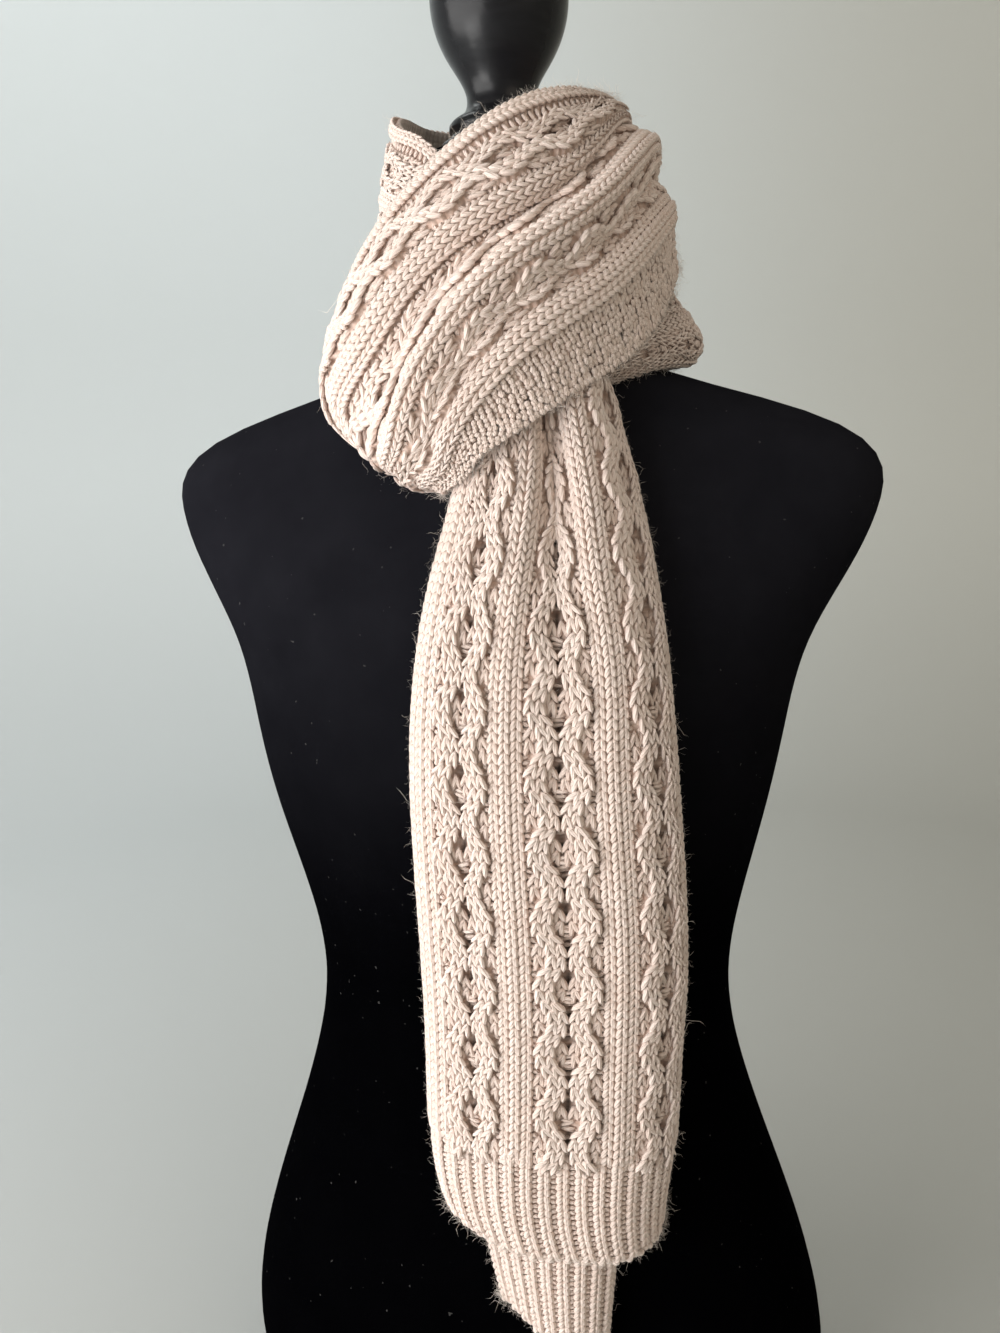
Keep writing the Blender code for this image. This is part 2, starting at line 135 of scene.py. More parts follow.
# The hems
HEM_DEPTH = 44.0
BACK_HEM_DEPTH = 64.0
HEM_FADE = 5.0  # mm in which the cables give way to the ribbing
HEM_LAP = 1.0  # mm that the cables run on into it
HEM_PURL_LEAD = 2  # mm that its gutters start above it
HEM_END = 0.5  # mm that its wales stop short of the end
HEM_PAIR = 9.7  # mm from one knit wale to the next in the 1x1 ribbing
HEM_WALE = 6.4  # mm, the width of its knit wales
HEM_GUTTER_HALF = 2.2
HEM_FIRST = STRIP_FROM + HEM_PAIR / 2
HEM_DRAWN = 7.0  # mm that the hem's left corner is drawn in
HEM_NARROWING = 5.0  # mm that its right side is drawn in, from higher up
HEM_NARROWS_OVER = 3 * HEM_DEPTH
HEM_SAG = 8.0  # mm that its middle hangs lower than its corners
SAG_FULLNESS = 1.2  # over 1, the sag has a flat middle
SAG_MIDDLE = 95.0  # mm across
SAG_HALF = 85.0
HEM_CORNER = 3.0  # mm that its right corner rolls back and up
CORNER_FROM = 160.0  # mm across, where the roll starts
CORNER_POWER = 1.6  # how late it gathers pace
FAR_FROM = 110.0  # mm across, where the right side takes over from the left
OVER_THE_END = 1.1  # the curl goes on this far, in hem depths, for slopes at the very end
CAST_OFF_FROM = 8.0  # mm across
CAST_OFF_TO = 198.5
LAST_GUTTER = 199.0
CAST_OFF_BACK = 0.4  # mm from the end
CAST_OFF_LIFT = 0.2
CAST_OFF_THICK = 1.6  # half sizes of its loops, in mm
CAST_OFF_HIGH = 1.9
CAST_OFF_SHARE = 0.32  # half of a loop's width, in pairs of wales
CAST_OFF_DROPS = (1.3, 0.2)  # mm that its loops hang below the edge, by turns

# Measuring
STATIONS = 400  # places down a panel where its length is measured
REACH = 1.0  # mm to either side of a place, for the slope there
WALE_REACH = 0.8  # the same, down a wale
FACING = (100.0, 60.0)  # mm across, where a stretch's outer side is told from its inner
LENGTH_LINES = (30.0, 100.0, 170.0)  # mm across, where a stretch's flat length is measured
LENGTH_STEPS = 200

NECK_Y = -5.0  # the neck's axis stands this far forward of the form's middle

# Panels side by side across the strip, in mm, and the number of wales in each
Panel = namedtuple("Panel", "start end kind wales")
TAIL_PANELS = (
    Panel(6, 15, "rib", 2),
    Panel(15, 29, "rib", 3),
    Panel(29, 64, "cable", 0),
    Panel(64, 82, "rib", 3),
    Panel(82, 118, "cable", 0),
    Panel(118, 136, "rib", 3),
    Panel(136, 171, "cable", 0),
    Panel(171, 185, "rib", 2),
    Panel(185, 200, "garter", 5),
)
BAND_PANELS = (
    Panel(6, 10, "edge", 1),
    Panel(10, 16, "edge", 1),
    Panel(16, 24, "ladder", 1),
    Panel(24, 62, "cable", 0),
    Panel(62, 80, "rib", 3),
    Panel(82, 118, "cable", 0),
    Panel(118, 136, "rib", 3),
    Panel(136, 171, "cable", 0),
    Panel(171, 187, "rib", 3),
    Panel(187, 212, "garter", 10),
)

# Folds along the strip: where each comes across the cloth in mm, its share of the way from a
# section's first edge to its second, and how far it lifts or rolls off that line in mm
Fold = namedtuple("Fold", "across share lift roll", defaults=(0,))
BAND_FOLDS = (
    Fold(6, 0.00, -1),
    Fold(14.5, 0.05, 0),
    Fold(43, 0.20, 0),
    Fold(71, 0.345, 2),
    Fold(103, 0.52, -9),
    Fold(127, 0.62, 9),
    Fold(152, 0.76, -3),
    Fold(179, 0.887, 3),
    Fold(192, 0.93, 1),
    Fold(212, 1.00, 0),
)
LOWER_FOLDS = (
    Fold(6, 0.00, 0),
    Fold(46, 0.20, 0),
    Fold(98, 0.45, -1),
    Fold(127, 0.60, 3),
    Fold(152, 0.80, 8),
    Fold(171, 0.93, 6),
    Fold(185, 0.975, 1),
    Fold(200, 1.00, -4),
)
TAIL_FOLDS = (
    Fold(6, 0.020, 0, -9),
    Fold(15, 0.005, 0, -4.5),
    Fold(22, 0.045, 0, -0.5),
    Fold(46, 0.195, 1),
    Fold(73, 0.36, 3),
    Fold(100, 0.56, -4),
    Fold(127, 0.76, 4),
    Fold(152, 0.91, 0, -0.5),
    Fold(176, 0.985, -1, -4),
    Fold(200, 0.99, 0, -14),
)
DOUBLED_FOLDS = (
    Fold(6, 0.00, 0),
    Fold(46, 0.45, 1),
    Fold(86, 0.95, 0),
    Fold(95, 1.00, -3.5),
    Fold(104, 0.95, -7),
    Fold(150, 0.45, -7.5),
    Fold(200, 0.02, -7.5),
)

# A section of a strand round the neck. Its top edge and its low edge have an angle (0 at the
# chest, 90 on the form's left), a distance from the neck's axis and a height. It bulges
# between them, its folds are full or flat, and its three ribs drift across it.
NeckSection = namedtuple(
    "NeckSection", "top_at top_r top_z low_at low_r low_z bulge folds rib_a rib_b rib_c"
)
RIBS_LAID_FLAT = (0.345, 0.62, 0.887)
UPPER_STRAND = (
    NeckSection(-16, 82, 591, 1, 88, 575, 0, 0.2, 0.33, 0.60, 0.88),
    NeckSection(-60, 90, 616, -5, 105, 572, 2, 0.4, 0.36, 0.70, 0.90),
    NeckSection(-75, 89, 643, 1, 113, 577, 2, 0.8, 0.40, 0.77, 0.92),
    NeckSection(-60, 86, 668, 5, 120, 585, 4, 1.0, 0.42, 0.74, 0.90),
    NeckSection(-29, 81, 706, 14, 121, 598, 6, 1.0, 0.34, 0.60, 0.81),
    NeckSection(0, 71, 738, 24, 115, 611, 7, 1.1, 0.32, 0.51, 0.75),
    NeckSection(30, 61, 757, 43, 102, 628, 7, 1.3, 0.30, 0.44, 0.70),
    NeckSection(62, 58, 762, 68, 93, 654, 6, 1.3, 0.15, 0.29, 0.62),
    NeckSection(95, 58, 765, 94, 91, 680, 6, 1.0, 0.09, 0.24, 0.61),
    NeckSection(118, 61, 766, 116, 92, 686, 6, 0.6, 0.13, 0.34, 0.65),
    NeckSection(148, 61, 769, 148, 90, 676, 7, 0.5, 0.23, 0.46, 0.78),
    NeckSection(180, 60, 770, 180, 86, 664, 7, 0.6, *RIBS_LAID_FLAT),
    NeckSection(212, 59, 769, 212, 85, 663, 6, 0.5, *RIBS_LAID_FLAT),
    NeckSection(240, 57, 768, 240, 85, 657, 2, 0.4, *RIBS_LAID_FLAT),
    NeckSection(266, 54, 767, 266, 91, 643, -2, 0.3, *RIBS_LAID_FLAT),
    NeckSection(290, 55, 761, 290, 78, 648, -1, 0.2, *RIBS_LAID_FLAT),
    NeckSection(314, 59, 750, 314, 74, 644, 0, 0.2, *RIBS_LAID_FLAT),
    NeckSection(338, 60, 736, 338, 79, 634, 0, 0.2, *RIBS_LAID_FLAT),
    NeckSection(352, 61, 716, 352, 84, 630, 0, 0.2, *RIBS_LAID_FLAT),
)
LOWER_STRAND = (
    NeckSection(46, 65, 654, 46, 70, 617, 0, 0.0, *RIBS_LAID_FLAT),
    NeckSection(60, 67, 668, 58, 76.2, 622.5, 0, 0.1, *RIBS_LAID_FLAT),
    NeckSection(76, 70, 678, 76, 87, 630, 2, 0.3, *RIBS_LAID_FLAT),
    NeckSection(92, 71, 690, 92, 93, 632.2, 7, 0.8, *RIBS_LAID_FLAT),
    NeckSection(106, 72, 698, 106, 95, 634.2, 8, 1.0, *RIBS_LAID_FLAT),
    NeckSection(118, 71, 700, 118, 94, 634.2, 7, 0.9, *RIBS_LAID_FLAT),
    NeckSection(148, 67, 698, 148, 83, 632, 2, 0.4, *RIBS_LAID_FLAT),
    NeckSection(180, 66, 694, 180, 78, 630, 0, 0.2, *RIBS_LAID_FLAT),
    NeckSection(212, 66, 692, 212, 78, 634, 0, 0.2, *RIBS_LAID_FLAT),
    NeckSection(240, 65.5, 690, 240, 80.5, 644, 0, 0.2, *RIBS_LAID_FLAT),
    NeckSection(266, 62.8, 688, 266, 79.8, 650, 0, 0.1, *RIBS_LAID_FLAT),
    NeckSection(290, 60.5, 684, 290, 68.5, 652, 0, 0.0, *RIBS_LAID_FLAT),
    NeckSection(310, 59, 680, 310, 65, 650, 0, 0.0, *RIBS_LAID_FLAT),
)
# The sections where one stretch of a strand ends and the next one starts
BAND_ENDS = 9
NAPE_ENDS = 13
RIGHT_ENDS = 5

# A section of a hanging tail: its two edges, its bulge and folds, and where two ribs drift
TailSection = namedtuple(
    "TailSection", "left_x left_y left_z right_x right_y right_z bulge folds rib_b rib_c"
)
TAIL_RIBS_FLAT = (0.36, 0.76)
FRONT_TAIL = (
    TailSection(4, -90.5, 640, 58, -69.5, 640, 5, 1.6, 0.38, 0.66),
    TailSection(2, -103, 604, 70, -81.5, 604, 6, 2.2, 0.38, 0.66),
    TailSection(-3, -110.5, 570, 80, -90.5, 568, 12, 1.9, 0.38, 0.69),
    TailSection(-11, -122, 535, 88, -101, 533, 15, 1.2, 0.37, 0.72),
    TailSection(-18, -129, 498, 94, -109, 495, 15, 0.7, *TAIL_RIBS_FLAT),
    TailSection(-22, -132, 458, 98, -113, 454, 15, 0.6, *TAIL_RIBS_FLAT),
    TailSection(-24, -129, 410, 101, -111, 406, 15, 0.5, *TAIL_RIBS_FLAT),
    TailSection(-24, -123.6, 350, 103, -106.6, 346, 16, 0.5, *TAIL_RIBS_FLAT),
    TailSection(-25, -117.6, 290, 101, -101.6, 284, 17, 0.5, *TAIL_RIBS_FLAT),
    TailSection(-27, -112, 240, 99, -98, 232, 20, 0.4, *TAIL_RIBS_FLAT),
    TailSection(-26, -109, 201, 93, -96, 192, 24, 0.3, *TAIL_RIBS_FLAT),
)
BACK_TAIL = (
    TailSection(14, -71, 620, 46, -62, 620, 2, 0.6, *TAIL_RIBS_FLAT),
    TailSection(6, -88, 570, 58, -78, 568, 6, 0.8, *TAIL_RIBS_FLAT),
    TailSection(-6, -120.6, 500, 76, -108.1, 496, 8, 1, *TAIL_RIBS_FLAT),
    TailSection(-8, -125.2, 440, 78, -112.6, 436, 5.6, 1, *TAIL_RIBS_FLAT),
    TailSection(-8, -118.6, 350, 78, -108.6, 346, 8, 1, *TAIL_RIBS_FLAT),
    TailSection(-6, -111.6, 260, 74, -102.6, 250, 8, 1, *TAIL_RIBS_FLAT),
    TailSection(-2, -107.6, 195, 66, -102.6, 170, 8, 1, *TAIL_RIBS_FLAT),
    TailSection(8, -107.6, 150, 61, -102.6, 113, 8, 1, *TAIL_RIBS_FLAT),
)

# Level sections of the body: height, half width, and depth in front and behind
BodySection = namedtuple("BodySection", "z half_width front back")
BODY = (
    BodySection(0, 171, 98, 110),
    BodySection(50, 178, 103, 117),
    BodySection(110, 170, 101, 117),
    BodySection(170, 151, 94, 108),
    BodySection(230, 131, 87, 95),
    BodySection(290, 121, 83, 85),
    BodySection(350, 130, 95, 85),
    BodySection(400, 142, 113, 90),
    BodySection(440, 150, 118, 95),
    BodySection(490, 163, 108, 99),
    BodySection(530, 184, 93, 97),
    BodySection(560, 196, 79, 88),
    BodySection(582, 195, 67, 79),
    BodySection(600, 174, 57, 70),
    BodySection(615, 134, 51, 63),
    BodySection(631, 84, 47, 57),
    BodySection(650, 58, 46, 53),
    BodySection(690, 47, 47, 46),
    BodySection(742, 44, 46, 43),
)
BODY_POWER = 2.1  # 2 is an ellipse, more is squarer

# The cap's turned outline, from its top down: radius and height
CAP_PROFILE = (
    (0, 858),
    (14, 856),
    (26, 848),
    (34, 834),
    (36, 819),
    (33, 802),
    (26, 788),
    (20, 778),
    (18, 770),
    (20, 764),
    (26, 760),
    (28, 757),
    (27, 752),
    (31, 749),
    (34, 746),
    (34, 742.5),
)


# ---------------------------------------------------------------- the strip's surface


def smooth_weights(knots, at):
    """The matrix that turns values at the knots into a natural cubic spline's values."""
    knots = np.asarray(knots, float)
    at = np.asarray(at, float)
    count = len(knots)
    step = np.diff(knots)
    left = np.zeros((count, count))
    right = np.zeros((count, count))
    left[0, 0] = left[-1, -1] = 1.0
    for k in range(1, count - 1):
        left[k, k - 1 : k + 2] = step[k - 1], 2 * (step[k - 1] + step[k]), step[k]
        right[k, k - 1] = 6 / step[k - 1]
        right[k, k] = -6 / step[k - 1] - 6 / step[k]
        right[k, k + 1] = 6 / step[k]
    bend = np.linalg.solve(left, right)
    cell = np.clip(np.searchsorted(knots, at, side="right") - 1, 0, count - 2)
    width = step[cell]
    b = (at - knots[cell]) / width
    a = 1 - b
    rows = np.arange(len(at))
    weights = np.zeros((len(at), count))
    weights[rows, cell] = a
    weights[rows, cell + 1] += b
    weights += ((a**3 - a) * width**2 / 6)[:, None] * bend[cell]
    weights += ((b**3 - b) * width**2 / 6)[:, None] * bend[cell + 1]
    return weights


def neck_points(section, folds):
    """A section of a strand round the neck: its folds fan out from the neck's axis."""
    flat = (0.0, *RIBS_LAID_FLAT, 1.0)
    drifted = (0.0, section.rib_a, section.rib_b, section.rib_c, 1.0)
    points = []
    for fold in folds:
        share = float(np.interp(fold.share, flat, drifted))
        angle = math.radians(section.top_at + share * (section.low_at - section.top_at))
        arc = 4 * share * (1 - share) * section.bulge
        radius = section.top_r + share * (section.low_r - section.top_r) + arc
        radius += fold.lift * section.folds
        height = section.top_z + share * (section.low_z - section.top_z)
        points.append(
            (radius * math.sin(angle), NECK_Y - radius * math.cos(angle), height)
        )
    return points


def tail_points(section, folds):
    """A section of a hanging tail: its folds stand off the line between its two edges."""
    left = np.array((section.left_x, section.left_y, section.left_z), float)
    right = np.array((section.right_x, section.right_y, section.right_z), float)
    outward = np.array((right[1] - left[1], left[0] - right[0], 0.0))
    outward /= np.linalg.norm(outward)
    flat = (0.0, *TAIL_RIBS_FLAT, 1.0)
    drifted = (0.0, section.rib_b, section.rib_c, 1.0)
    points = []
    for fold in folds:
        share = float(np.interp(fold.share, flat, drifted))
        arc = 4 * share * (1 - share) * section.bulge + fold.lift * section.folds + fold.roll
        points.append(tuple(left + share * (right - left) + arc * outward))
    return points


def unit(vectors):
    return vectors / np.linalg.norm(vectors, axis=-1, keepdims=True)


def length_down(line):
    """Length from the first point of a line to each of its points."""
    steps = np.linalg.norm(np.diff(line, axis=0), axis=1)
    return np.concatenate([[0.0], np.cumsum(steps)])


class Strip:
    """The smooth middle surface of a stretch of the scarf, in mm."""

    def __init__(self, sections, folds, panels, repeat, first_cluster, hem=0.0, curls=False,
                 fullness=1.0):
        place = neck_points if isinstance(sections[0], NeckSection) else tail_points
        self.curls = curls
        self.net = np.array([place(section, folds) for section in sections])
        self.across = [fold.across for fold in folds]
        self.along = length_down(self.net[:, len(folds) // 2])
        self.length = self.along[-1]
        self.panels = panels
        self.repeat = repeat
        self.first_cluster = first_cluster
        self.hem_at = self.length - hem if hem else None
        self.calm_from = self.length
        self.fullness = fullness
        across = np.array(FACING)
        along = np.full(len(FACING), self.length / 2)
        away = self.point(across, along) - np.array((0.0, NECK_Y, 0.0))
        away[:, 2] = 0.0
        self.sign = 1.0
        self.sign = 1.0 if (self.normal(across, along) * away).sum() > 0 else -1.0
        self.arcs = {}
        self.stations = np.linspace(0.0, self.length, STATIONS)
        for panel in panels:
            middle = np.full(STATIONS, (panel.start + panel.end) / 2)
            self.arcs[panel] = length_down(self.point(middle, self.stations))

    def point(self, across, along):
        u = smooth_weights(self.across, np.ravel(across))
        v = smooth_weights(self.along, np.ravel(along))
        mixed = np.tensordot(v, self.net, axes=(1, 0))
        found = np.einsum("puc,pu->pc", mixed, u)
        if self.curls:
            found += self.corner_curl(np.ravel(across), np.ravel(along))
        return found.reshape(*np.shape(across), 3)

    def corner_curl(self, across, along):
        """The hem is drawn in at both sides, sags between them, and its right corner rolls."""
        past_hem = along - self.length + HEM_DEPTH
        past_narrowing = along - self.length + HEM_NARROWS_OVER
        near_end = np.clip(past_hem / HEM_DEPTH, 0, OVER_THE_END)
        low_down = np.clip(past_narrowing / HEM_NARROWS_OVER, 0, OVER_THE_END)
        right = np.clip((across - CORNER_FROM) / (STRIP_TO - CORNER_FROM), 0, 1) ** CORNER_POWER
        far = np.clip((across - FAR_FROM) / (STRIP_TO - FAR_FROM), 0, 1)
        drawn = near_end**3.0 * HEM_DRAWN * (1 - far) - low_down * HEM_NARROWING * far
        belly = SAG_FULLNESS - ((across - SAG_MIDDLE) / SAG_HALF) ** 2
        sag = near_end * HEM_SAG * np.clip(belly, 0, 1)
        corner = near_end**2.0 * right
        return np.stack([drawn, HEM_CORNER * corner, HEM_CORNER * corner - sag], axis=1)

    def normal(self, across, along):
        du = self.point(across + REACH, along) - self.point(across - REACH, along)
        dv = self.point(across, along + REACH) - self.point(across, along - REACH)
        return unit(np.cross(du, dv)) * self.sign

    def spread(self, across, along):
        """Real mm for each mm across the flat strip."""
        du = self.point(across + REACH, along) - self.point(across - REACH, along)
        return np.linalg.norm(du, axis=-1) / (2 * REACH)

    def arc(self, panel, along):
        """Real mm of length down the middle of a panel."""
        return np.interp(along, self.stations, self.arcs[panel])

    def flat_length(self, low, high):
        """The length of the cloth between two places, down three of its lines."""
        along = np.linspace(low, high, LENGTH_STEPS)
        lines = [self.point(np.full(LENGTH_STEPS, across), along) for across in LENGTH_LINES]
        return float(np.mean([length_down(line)[-1] for line in lines]))

    def loft(self, along):
        """How full the ropes stand: less where the cloth is wound tight round the neck."""
        return self.fullness - TIGHT_LOSS * np.clip((along - self.calm_from) / TIGHT_OVER, 0.0, 1.0)

    def ribbing(self, along):
        """0 above the hem, 1 in its ribbing."""
        if self.hem_at is None:
            return np.zeros(np.shape(along))
        return np.clip((along - self.hem_at) / HEM_FADE + 1.0, 0.0, 1.0)


# ---------------------------------------------------------------- the stitch pattern


def cable_phase(strip, panel, along):
    """0 to 1 down one repeat, from the top of one cluster of bars to the next."""
    return ((strip.arc(panel, along) - strip.first_cluster) / strip.repeat) % 1.0


def strand_turn(strip, panel, along):
    """The strands' turn in radians: 0 where the one in front swings furthest out."""
    return 2 * math.pi * (cable_phase(strip, panel, along) - OUTERMOST)


def strand_course(strip, panel, side, front, along):
    """Middle across of one strand of a rope: a wave, and its twin behind waves against it."""
    turn = strand_turn(strip, panel, along)
    swing = (1 if front else -1) * np.tanh(SNAP * np.cos(turn)) / math.tanh(SNAP)
    return (panel.start + panel.end) / 2 + side * (ROPE_OFFSET + STRAND_SWING * swing)


def strand_height(strip, panel, side, front, across, along):
    middle = strand_course(strip, panel, side, front, along)
    dome = np.clip(1 - ((across - middle) / STRAND_HALF) ** 2, 0, 1) ** 0.5
    return (FRONT_RISE if front else BEHIND_RISE) * dome * strip.loft(along)


def relief(strip, across, along):
    """How far the ground stands up under its stitches, in mm."""
    height = np.zeros(np.shape(across))
    for panel in strip.panels:
        if panel.kind in ("rib", "edge"):
            t = (across - panel.start) / (panel.end - panel.start)
            mound = np.clip(1 - np.abs(2 * t - 1) ** RIB_FLATNESS, 0, 1)
            height = np.maximum(height, RIB_RISE * mound)
        if panel.kind == "cable":
            for side in (-1, 1):
                for front in (True, False):
                    own = strand_height(strip, panel, side, front, across, along)
                    height = np.maximum(height, own)
    ribbing = strip.ribbing(along)
    pairs = 0.5 + 0.5 * np.cos(2 * math.pi * (across - HEM_FIRST) / HEM_PAIR)
    return height * (1 - ribbing) + HEM_RISE * ribbing * pairs**HEM_FLATNESS


# The bars across a cable's middle, by their part of its repeat; their depth is the painted shade
# that each takes, more on the low ones
Bar = namedtuple("Bar", "phase half thick lift depth")
BARS = (
    Bar(0.020, 4.2, 1.10, 1.3, 0.15),
    Bar(0.085, 4.8, 1.20, 1.9, 0.10),
    Bar(0.150, 4.6, 1.15, 1.5, 0.15),
    Bar(0.205, 3.8, 1.00, 0.7, 0.40),
    Bar(0.310, 3.2, 1.25, 0.4, 0.45),
    Bar(0.440, 2.9, 1.25, 0.3, 0.50),
    Bar(0.560, 2.9, 1.25, 0.3, 0.50),
    Bar(0.665, 3.4, 1.25, 0.4, 0.45),
    Bar(0.950, 3.2, 1.00, 0.5, 0.45),
)
HOLES = (0.25, 0.375, 0.50, 0.735, 0.765, 0.86, 0.89)  # where its middle is open


class Yarn:
    """Spindles of yarn to be laid: middles, headings, uprights, half sizes and depths, which are
    how much painted shade each takes.
    """

    def __init__(self, seed):
        self.rng = np.random.default_rng(seed)
        self.rows = []

    def lay(self, middle, heading, upright, width, length, height, depth):
        count = len(middle)
        size = np.stack(
            [np.broadcast_to(value, count) for value in (width, length, height)], axis=1
        )
        self.rows.append((middle, heading, upright, size, np.broadcast_to(depth, count)))

    def gathered(self):
        return [np.concatenate([row[k] for row in self.rows]) for k in range(5)]


def steady(value):
    """The same place across the strip, or the same width, all the way down."""
    return lambda along: np.full(np.shape(along), float(value))


def level(lift):
    """The same height above the cloth everywhere."""
    return lambda across, along: np.full(np.shape(along), lift)


def ground_of(strip):
    """The height of the strip's own relief."""
    return lambda across, along: relief(strip, across, along)


def rows_along(strip, across_of, low, high, pitch):
    """Places down a wale, one for each row of real length."""
    fine = np.arange(low, high, WALE_STEP)
    if len(fine) < SHORTEST_WALE:
        return np.zeros(0)
    total = length_down(strip.point(across_of(fine), fine))
    return np.interp(np.arange(pitch / 2, total[-1], pitch), total, fine)


def laid_frame(strip, across_of, height_of, along):
    """Middle, tangent, side and normal of a wale's yarn at these places."""
    normal = strip.normal(across_of(along), along)

    def at(place):
        across = across_of(place)
        return strip.point(across, place) + normal * height_of(across, place)[:, None]

    tangent = unit(at(along + WALE_REACH) - at(along - WALE_REACH))
    side = unit(np.cross(normal, tangent)) * strip.sign
    return at(along), tangent, side, unit(np.cross(tangent, side)) * strip.sign


def knit_wale(yarn, strip, across_of, height_of, spacing, low, high, pitch=ROW, depth=0.0,
              lean=LEG_LEAN, plump=LEG_PLUMP, span=LEG_SPAN, dip=LEG_DIP, keep=None):
    """A column of V stitches, whose legs part towards the hem."""
    along = rows_along(strip, across_of, low, high, pitch)
    if keep is not None:
        along = along[keep(along)]
    if len(along) == 0:
        return
    middle, tangent, side, normal = laid_frame(strip, across_of, height_of, along)
    quarter = spacing * strip.spread(across_of(along), along) * 0.25
    for hand in (-1, 1):
        shake = yarn.rng.normal(0, LEG_TURN_SHAKE, len(along))
        tilt = (math.radians(lean) + shake)[:, None]
        heading = tangent * np.cos(tilt) + hand * side * np.sin(tilt)
        heading = unit(heading - normal * dip)
        shake = yarn.rng.normal(0, LEG_PLACE_SHAKE, (len(along), 3))
        place = middle + hand * side * quarter[:, None] + normal * LEG_RISE + shake
        half_thick = np.minimum(quarter * plump, LEG_THICKEST) + LEG_FLUFF
        yarn.lay(place, heading, normal, quarter * plump, pitch * span / 2, half_thick, depth)


def purl_bumps(yarn, strip, across_of, half_of, low, high, kind, turn=0.0):
    """A column of purl bumps, lying across the strip."""
    along = rows_along(strip, across_of, low, high, kind.row)
    if len(along) == 0:
        return
    middle, tangent, side, normal = laid_frame(strip, across_of, level(kind.lift), along)
    half = half_of(along) * strip.spread(across_of(along), along)
    heading = unit(side + tangent * yarn.rng.normal(turn, kind.wobble, (len(along), 1)))
    shaken = yarn.rng.normal(0, kind.shake, (len(along), 3))
    thick = kind.row * kind.thick
    yarn.lay(middle + shaken, heading, normal, thick, half, thick * kind.flat, kind.depth)


def knit_cable(yarn, strip, panel, low, high):
    """Two waving ropes that mirror each other, with purl ladders beside and between them."""
    middle = (panel.start + panel.end) / 2
    border = (panel.end - middle) - BORDER_GAP

    def rope_edge(along, side):
        """The outer edge of a rope, from the panel's middle."""
        edges = [
            side * (strand_course(strip, panel, side, front, along) - middle) + ROPE_HALF
            for front in (True, False)
        ]
        return np.maximum(*edges)

    for side in (-1, 1):
        for front in (True, False):
            for wale in (-0.5, 0.5):

                def across_of(along, side=side, front=front, wale=wale):
                    return strand_course(strip, panel, side, front, along) + wale * STRAND_WALE

                def height_of(across, along, side=side, front=front):
                    return strand_height(strip, panel, side, front, across, along)

                def seen(along, front=front):
                    turn = np.cos(strand_turn(strip, panel, along))
                    return front | (turn < CLEAR_OUTSIDE) | (turn > CLEAR_INSIDE)

                knit_wale(yarn, strip, across_of, height_of, STRAND_WALE, low, high,
                          STRAND_ROW, keep=seen, depth=0.0 if front else STRAND_BEHIND_SHADE,
                          lean=STRAND_LEAN, plump=STRAND_PLUMP, span=STRAND_SPAN,
                          dip=STRAND_DIP)

        def gutter_middle(along, side=side):
            return middle + side * (border + rope_edge(along, side)) / 2

        def gutter_half(along, side=side):
            half = (border - rope_edge(along, side)) / 2 + GUTTER_OVERLAP
            return np.clip(half, GUTTER_NARROWEST, GUTTER_WIDEST)

        purl_bumps(yarn, strip, gutter_middle, gutter_half, low, high, GUTTER_PURL)

    for bar in BARS:
        lay_bars(yarn, strip, middle, phase_places(strip, panel, low, high, bar.phase), bar)


def phase_places(strip, panel, low, high, phase):
    """Where this part of the repeat comes, down the panel."""
    first, last = strip.arc(panel, low), strip.arc(panel, high)
    arcs = (REPEATS + phase) * strip.repeat + strip.first_cluster
    arcs = arcs[(arcs > first + BAR_MARGIN) & (arcs < last - BAR_MARGIN)]
    return np.interp(arcs, strip.arcs[panel], strip.stations)


def lay_bars(yarn, strip, middle, along, bar):
    """The same bar across a cable's middle in each of its repeats."""
    if len(along) == 0:
        return
    across_of = steady(middle)
    place, tangent, side, normal = laid_frame(strip, across_of, level(bar.lift), along)
    shake = yarn.rng.normal(0, BAR_PLACE_SHAKE, place.shape)
    heading = unit(side + tangent * yarn.rng.normal(0, BAR_TURN_SHAKE, (len(along), 1)))
    half = bar.half * strip.spread(across_of(along), along)
    yarn.lay(place + shake, heading, normal, bar.thick, half, bar.thick, bar.depth)


def holes(strip, across, along):
    """1 in the open holes down the middle of each cable, which are painted in shadow, 0 elsewhere.
    """
    painted_shade = np.zeros(np.shape(across))
    for panel in strip.panels:
        if panel.kind != "cable":
            continue
        beside = np.exp(-(((across - (panel.start + panel.end) / 2) / HOLE_HALF) ** 2))
        phase = cable_phase(strip, panel, along)
        for hole in HOLES:
            above = (phase - hole) * strip.repeat / HOLE_LENGTH
            painted_shade = np.maximum(painted_shade, beside * np.exp(-(above**2)))
    return painted_shade * (1 - strip.ribbing(along))


def knit_hem(yarn, strip, first, last):
    """1x1 ribbing with a scalloped cast-off edge."""
    low, high = strip.hem_at, strip.length - HEM_END
    half = steady(HEM_GUTTER_HALF)
    for middle in np.arange(HEM_FIRST, STRIP_TO, HEM_PAIR):
        if not first <= middle <= last:
            continue
        knit_wale(yarn, strip, steady(middle), ground_of(strip), HEM_WALE, low - HEM_FADE, high,
                  pitch=HEM_ROW, lean=HEM_LEAN)
        gutter = middle + HEM_PAIR / 2
        if gutter < min(last, LAST_GUTTER):
            purl_bumps(yarn, strip, steady(gutter), half, low - HEM_PURL_LEAD, high, HEM_PURL)
    cast_off(yarn, strip, first, last)


